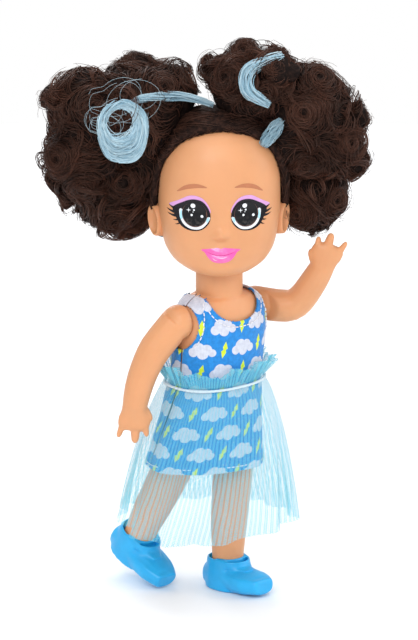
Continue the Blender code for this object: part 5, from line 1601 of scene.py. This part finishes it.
def ringlet_tubes(core, side):
    """Curled locks: bundles of fibres that wind in loose loops, half sunk in the puff."""
    tubes = []
    t = np.linspace(0, 1, 17)
    for centre, normal in free_faces(core, RINGLETS, 0.003):
        axis = unit(normal + RNG.normal(0, 0.50, 3))
        first = unit(np.cross(axis, RNG.normal(0, 1, 3)))
        second = np.cross(axis, first)
        size = RNG.uniform(0.0018, 0.0046)
        turn = 2 * np.pi * RNG.uniform(0.45, 1.35) * RNG.choice((-1, 1))
        start = RNG.uniform(0, 2 * np.pi)
        pitch = RNG.uniform(-0.0018, 0.0018)
        width = size * RNG.uniform(0.10, 0.24)
        tone = RNG.uniform(0.0, 0.55)
        for _ in range(RINGLET_FIBRES):
            waver = width * 0.6 * np.sin(RNG.uniform(3, 8) * t + RNG.uniform(0, 6))
            reach = (size * (0.70 + 0.40 * t) + RNG.normal(0, width) + waver)[:, None]
            angle = (start + turn * t * RNG.uniform(0.9, 1.1) + RNG.normal(0, 0.12))[:, None]
            lift = pitch * (t - 0.5) + RNG.normal(0, width * 0.6) - 0.0003
            path = centre + np.cos(angle) * first * reach + np.sin(angle) * second * reach
            path = draw_in(path + lift[:, None] * axis, side)
            taper = np.sin(np.pi * np.linspace(0.08, 0.92, len(t))) ** 0.5
            tubes.append((path, 0.00009 * RNG.uniform(0.7, 1.3) * taper, tone + RNG.uniform(0, 0.40)))
    return tubes


def build_puffs(core_paint, lock_paint, strand_paint):
    for side, sign in (("right", -1), ("left", 1)):
        core, curls = puff_core(side, core_paint)
        root = head_to_world(np.array((sign * 0.40, 0.07, 0.80)) * HEAD_HEIGHT)
        field = swirl_field(curls, root)

        def outside(point):
            return not inside_head(world_to_head(point), 0.002)

        locks = draw_in(laid_strands(core, field, 2700, 15, 0.00075, low_lift, outside), side)
        strands = draw_in(laid_strands(core, field, 1500, 18, 0.00075, high_lift, outside), side, 0.0018)
        # Low locks take darker tones and raised strands lighter ones: painted highlight on the outer hair, painted
        # shade beneath
        layers = (
            ("locks", as_tubes(locks, 0.00016, 0.0, 0.45), lock_paint),
            ("ringlets", ringlet_tubes(core, side), lock_paint),
            ("strands", as_tubes(strands, 0.00006, 0.2, 1.0), strand_paint),
            ("frizz", frizz_tubes(core, side, 360), strand_paint),
        )
        for label, tubes, paint in layers:
            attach(tubes_object(f"hair_puff_{side}_{label}", tubes, paint, 3), "head")


def build_scalp(cap_paint, strand_paint):
    """Rooted hair combed back over the head to where the two puffs are tied."""
    cap = softened("hair_scalp", "cap", "head", cap_paint, 0.00045, 6)
    points = world_to_head(np.array([vert.co for vert in cap.data.vertices]))
    behind = np.clip((points[:, 1] - CAP_EDGE_START) / CAP_EDGE_RUN, 0, 1)
    points[:, 2] = np.maximum(points[:, 2], CAP_EDGE_HEIGHT * (1 - behind))
    cap.data.vertices.foreach_set("co", head_to_world(points).ravel())
    roots = [head_to_world(np.array((sign * 0.42, 0.10, 0.86)) * HEAD_HEIGHT) for sign in (-1, 1)]
    parting = unit(roots[1] - roots[0])
    middle = (roots[0] + roots[1]) / 2

    def field(points, normals):
        side = np.tanh((points - middle) @ parting / 0.0012)[:, None]
        goal = np.where(side > 0, roots[1], roots[0])
        flow = unit(goal - points) + np.abs(1 - np.abs(side)) * side * parting
        flow -= normals * (flow * normals).sum(1)[:, None]
        return unit(flow + 1e-9)

    routes = laid_strands(cap, field, SCALP_STRANDS, 16, 0.00075, combed_lift)
    strands = tubes_object("hair_scalp_strands", as_tubes(routes, 0.00010, 0.0, 0.8), strand_paint, 3)
    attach(strands, "head")


def combed_lift(t, count):
    base = RNG.uniform(0.00004, 0.00042, (1, count, 1))
    return base - 0.0002 * (1 - np.sin(np.pi * t) ** 0.4)


def lock_fibres(route, radius, count):
    """Fine fibres that run along a lock of hair, waving inside its thickness."""
    line = smooth_curve(np.asarray(route) * HEAD_HEIGHT, 26)
    along = unit(np.gradient(line, axis=0))
    first = carried_frame(along)
    second = np.cross(along, first)
    t = np.linspace(0, 1, len(line))
    spread = radius * (0.60 + 0.40 * np.sin(np.pi * t))
    tubes = []
    for _ in range(count):
        reach = RNG.uniform(0, 1) ** 0.6 + 0.18 * np.sin(RNG.uniform(4, 9) * t + RNG.uniform(0, 6))
        angle = RNG.uniform(0, 2 * np.pi) + 1.1 * t + 0.35 * np.sin(7 * t + RNG.uniform(0, 6))
        offset = first * np.cos(angle)[:, None] + second * np.sin(angle)[:, None]
        path = line + offset * (reach * spread)[:, None]
        keep = slice(int(RNG.integers(0, 5)), len(line) - int(RNG.integers(0, 5)))
        tubes.append((head_to_world(path[keep]), 0.00008, RNG.uniform(0, 1)))
    return tubes


def ring_axes():
    """Centre and three axes of the round blue curl, in the head's space."""
    facing = unit(np.array(RING_FACING))
    across = unit(np.cross(facing, (0, 0, 1)))
    return np.array(RING_PLACE) * HEAD_HEIGHT, across, np.cross(across, facing), facing


def ring_fibres(count):
    """The round blue curl: fibres that swirl between a hole and an uneven oval, thickest on one side."""
    centre, across, up, facing = ring_axes()
    t = np.linspace(0, 1, 34)
    tubes = []
    for _ in range(count):
        turn = RNG.uniform(1.3, 4.2)
        angle = RING_HEAVY + RNG.normal(0, 0.95) + (t - 0.5) * turn
        thin = 0.5 - 0.5 * np.cos(angle - RING_HEAVY)
        share = RNG.uniform(0, 1) * (1 - 0.45 * thin) + 0.22 * (t - 0.5)
        share = np.clip(share + 0.07 * np.sin(6 * t + RNG.uniform(0, 6)), -0.12, 1.05)
        uneven = 1 + 0.05 * np.sin(2 * angle + 0.7) + 0.03 * np.sin(5 * angle)
        inner = np.stack((RING_HOLE * np.cos(angle), RING_HOLE * np.sin(angle) + RING_HOLE_RISE), 1)
        outer = np.stack((RING_HALF_WIDTH * np.cos(angle), RING_HALF_HEIGHT * np.sin(angle)), 1)
        flat = inner + (outer * uneven[:, None] - inner) * share[:, None]
        swell = RING_DEPTH * np.sin(np.pi * np.clip(share, 0, 1)) * RNG.uniform(0.2, 1.0)
        path = centre + flat[:, :1] * across + flat[:, 1:] * up + swell[:, None] * facing
        tubes.append((head_to_world(path), 0.00008 * RNG.uniform(0.8, 1.2), RNG.uniform(0, 1)))
    for _ in range(RING_LOOSE_LOOPS):
        size = RNG.uniform(0.0030, 0.0075)
        angle = RNG.uniform(0, 2 * np.pi) + t * RNG.uniform(2.5, 6.0)
        middle = centre + up * RNG.normal(RING_LOOSE_RISE / 2, RING_LOOSE_RISE / 3)
        middle = middle + across * RNG.normal(0, 0.0025)
        depth = RNG.uniform(0.0002, 0.0014) + 0.0006 * np.sin(4 * t + RNG.uniform(0, 6))
        oval = size * np.cos(angle)[:, None] * across + 0.8 * size * np.sin(angle)[:, None] * up
        path = head_to_world(middle + oval + depth[:, None] * facing)
        tubes.append((draw_in(path, "right", 0.0020), 0.00003, 0.7))
    return tubes


def build_streaks(paint):
    """Light blue fibres of the dyed locks."""
    for name, (route, radius, count) in STREAKS.items():
        carried(tubes_object(name + "_fibres", lock_fibres(route, radius, count), paint, 3), "head", name)
    ring = tubes_object("hair_streak_ring_fibres", ring_fibres(RING_FIBRES), paint, 3)
    carried(ring, "head", "hair_streak_ring")


# Camera, light and floor
def stage_materials():
    floor = Shader("floor_paper", 0.75)
    tone = floor.ramp(floor.noise(40.0, 4.0), 0.3, 0.7)
    floor.set(Base_Color=floor.mix(tone, (0.90, 0.90, 0.90), (0.93, 0.93, 0.93)))
    floor.bump(floor.noise(900.0, 3.0), 0.04, 0.0001)
    return floor.material


def build_stage():
    """Pale floor, soft lights, white surroundings and the camera of the photograph."""
    count, reach = 64, 0.45
    angles = 2 * np.pi * np.arange(count) / count
    ring = np.stack((reach * np.cos(angles), reach * np.sin(angles), 0 * angles), 1)
    floor = mesh_object("floor", ring, [tuple(range(count))], stage_materials(), smooth=False)
    floor.location.z = -0.00002
    centre = Vector((ORIGIN[0], ORIGIN[1], 0.07))
    for name, place, power, size in (
        ("key", (-0.75, -0.62, 0.75), 6.8, 0.5),
        ("fill", (0.72, -0.75, 0.45), 3.3, 0.6),
        ("top", (0.05, 0.15, 1.0), 3.8, 0.7),
        ("back", (0.4, 0.9, 0.5), 2.4, 0.5),
    ):
        light = bpy.data.lights.new(name, "AREA")
        light.energy = power
        light.size = size
        obj = linked(name, light)
        obj.location = place
        obj.rotation_euler = (centre - Vector(place)).to_track_quat("-Z", "Y").to_euler()
    build_world()
    toward = Vector(VIEW_TOWARD).normalized()
    target = Vector(ORIGIN + VIEW_TARGET)
    data = bpy.data.cameras.new("photo_camera")
    data.lens = 234.3 * CAMERA_DISTANCE
    data.sensor_width = 36.0
    data.sensor_fit = "AUTO"
    data.clip_start = 0.01
    camera = linked("photo_camera", data)
    right = Vector(VIEW_RIGHT).normalized()
    turn = Matrix((right, toward.cross(right).normalized(), toward)).transposed().to_4x4()
    camera.matrix_world = Matrix.Translation(target + toward * CAMERA_DISTANCE) @ turn
    bpy.context.scene.camera = camera
    bpy.context.scene.view_settings.view_transform = "Standard"


def build_world():
    """Even pale light, and plain white wherever the camera or a clear layer looks past the doll."""
    world = bpy.data.worlds.new("white_room")
    bpy.context.scene.world = world
    world.use_nodes = True
    tree = world.node_tree
    tree.nodes.clear()
    out = tree.nodes.new("ShaderNodeOutputWorld")
    soft = tree.nodes.new("ShaderNodeBackground")
    soft.inputs["Color"].default_value = (0.95, 0.97, 1.0, 1)
    soft.inputs["Strength"].default_value = 0.70
    white = tree.nodes.new("ShaderNodeBackground")
    white.inputs["Color"].default_value = (1, 1, 1, 1)
    white.inputs["Strength"].default_value = 1.0
    path = tree.nodes.new("ShaderNodeLightPath")
    mix = tree.nodes.new("ShaderNodeMixShader")
    tree.links.new(path.outputs["Is Camera Ray"], mix.inputs[0])
    tree.links.new(soft.outputs[0], mix.inputs[1])
    tree.links.new(white.outputs[0], mix.inputs[2])
    tree.links.new(mix.outputs[0], out.inputs[0])


def tape_material():
    """Napped white fastening tape."""
    shader = Shader("closure_nap", 0.9)
    nap = shader.noise(2400.0, 4.0)
    shader.set(Base_Color=shader.mix(shader.ramp(nap, 0.35, 0.65), (0.55, 0.56, 0.60), (0.82, 0.83, 0.86)))
    shader.bump(nap, 0.8, 0.0003)
    return shader.material


def refinish(node, material):
    """Give a CAD node that stays a better material."""
    obj = frame["nodes"][node]
    for slot in obj.material_slots:
        slot.material = material
    if not obj.material_slots:
        obj.data.materials.append(material)


def build_doll():
    skin = vinyl_material("vinyl_skin", (0.72, 0.335, 0.155))
    hard = vinyl_material("hard_skin", (0.60, 0.30, 0.155), 0.4)
    build_head(skin)
    build_face()
    build_limbs(skin, shoe_material())
    build_dress(dress_material())
    build_skirt()
    build_torso(skin)
    refinish("neck_knob", hard)
    thread = paint_material("thread_white", (0.80, 0.80, 0.84), 0.7)
    build_trims(thread, paint_material("elastic_pale", (0.62, 0.74, 0.80), 0.45))
    refinish("closure_tape", tape_material())
    # Dark brown to a reddish painted highlight, which the outer strands reach
    brown_to_highlight = ((0.0100, 0.0042, 0.0032), (0.120, 0.048, 0.031))
    build_puffs(
        # The puffs' core is coloured darker than any strand: painted shade deep among the curls
        core_material("hair_core_painted_shade", (0.006, 0.003, 0.0025), (0.022, 0.011, 0.008)),
        hair_material("hair_locks", *brown_to_highlight, 0.42),
        hair_material("hair_strands", *brown_to_highlight, 0.34),
    )
    build_scalp(
        core_material("hair_cap", (0.010, 0.005, 0.004), (0.050, 0.022, 0.015)),
        hair_material("hair_combed", (0.012, 0.006, 0.0045), (0.110, 0.046, 0.030), 0.38),
    )
    build_streaks(hair_material("hair_blue", (0.27, 0.49, 0.62), (0.74, 0.90, 0.96), 0.45))


build_stage()
build_doll()
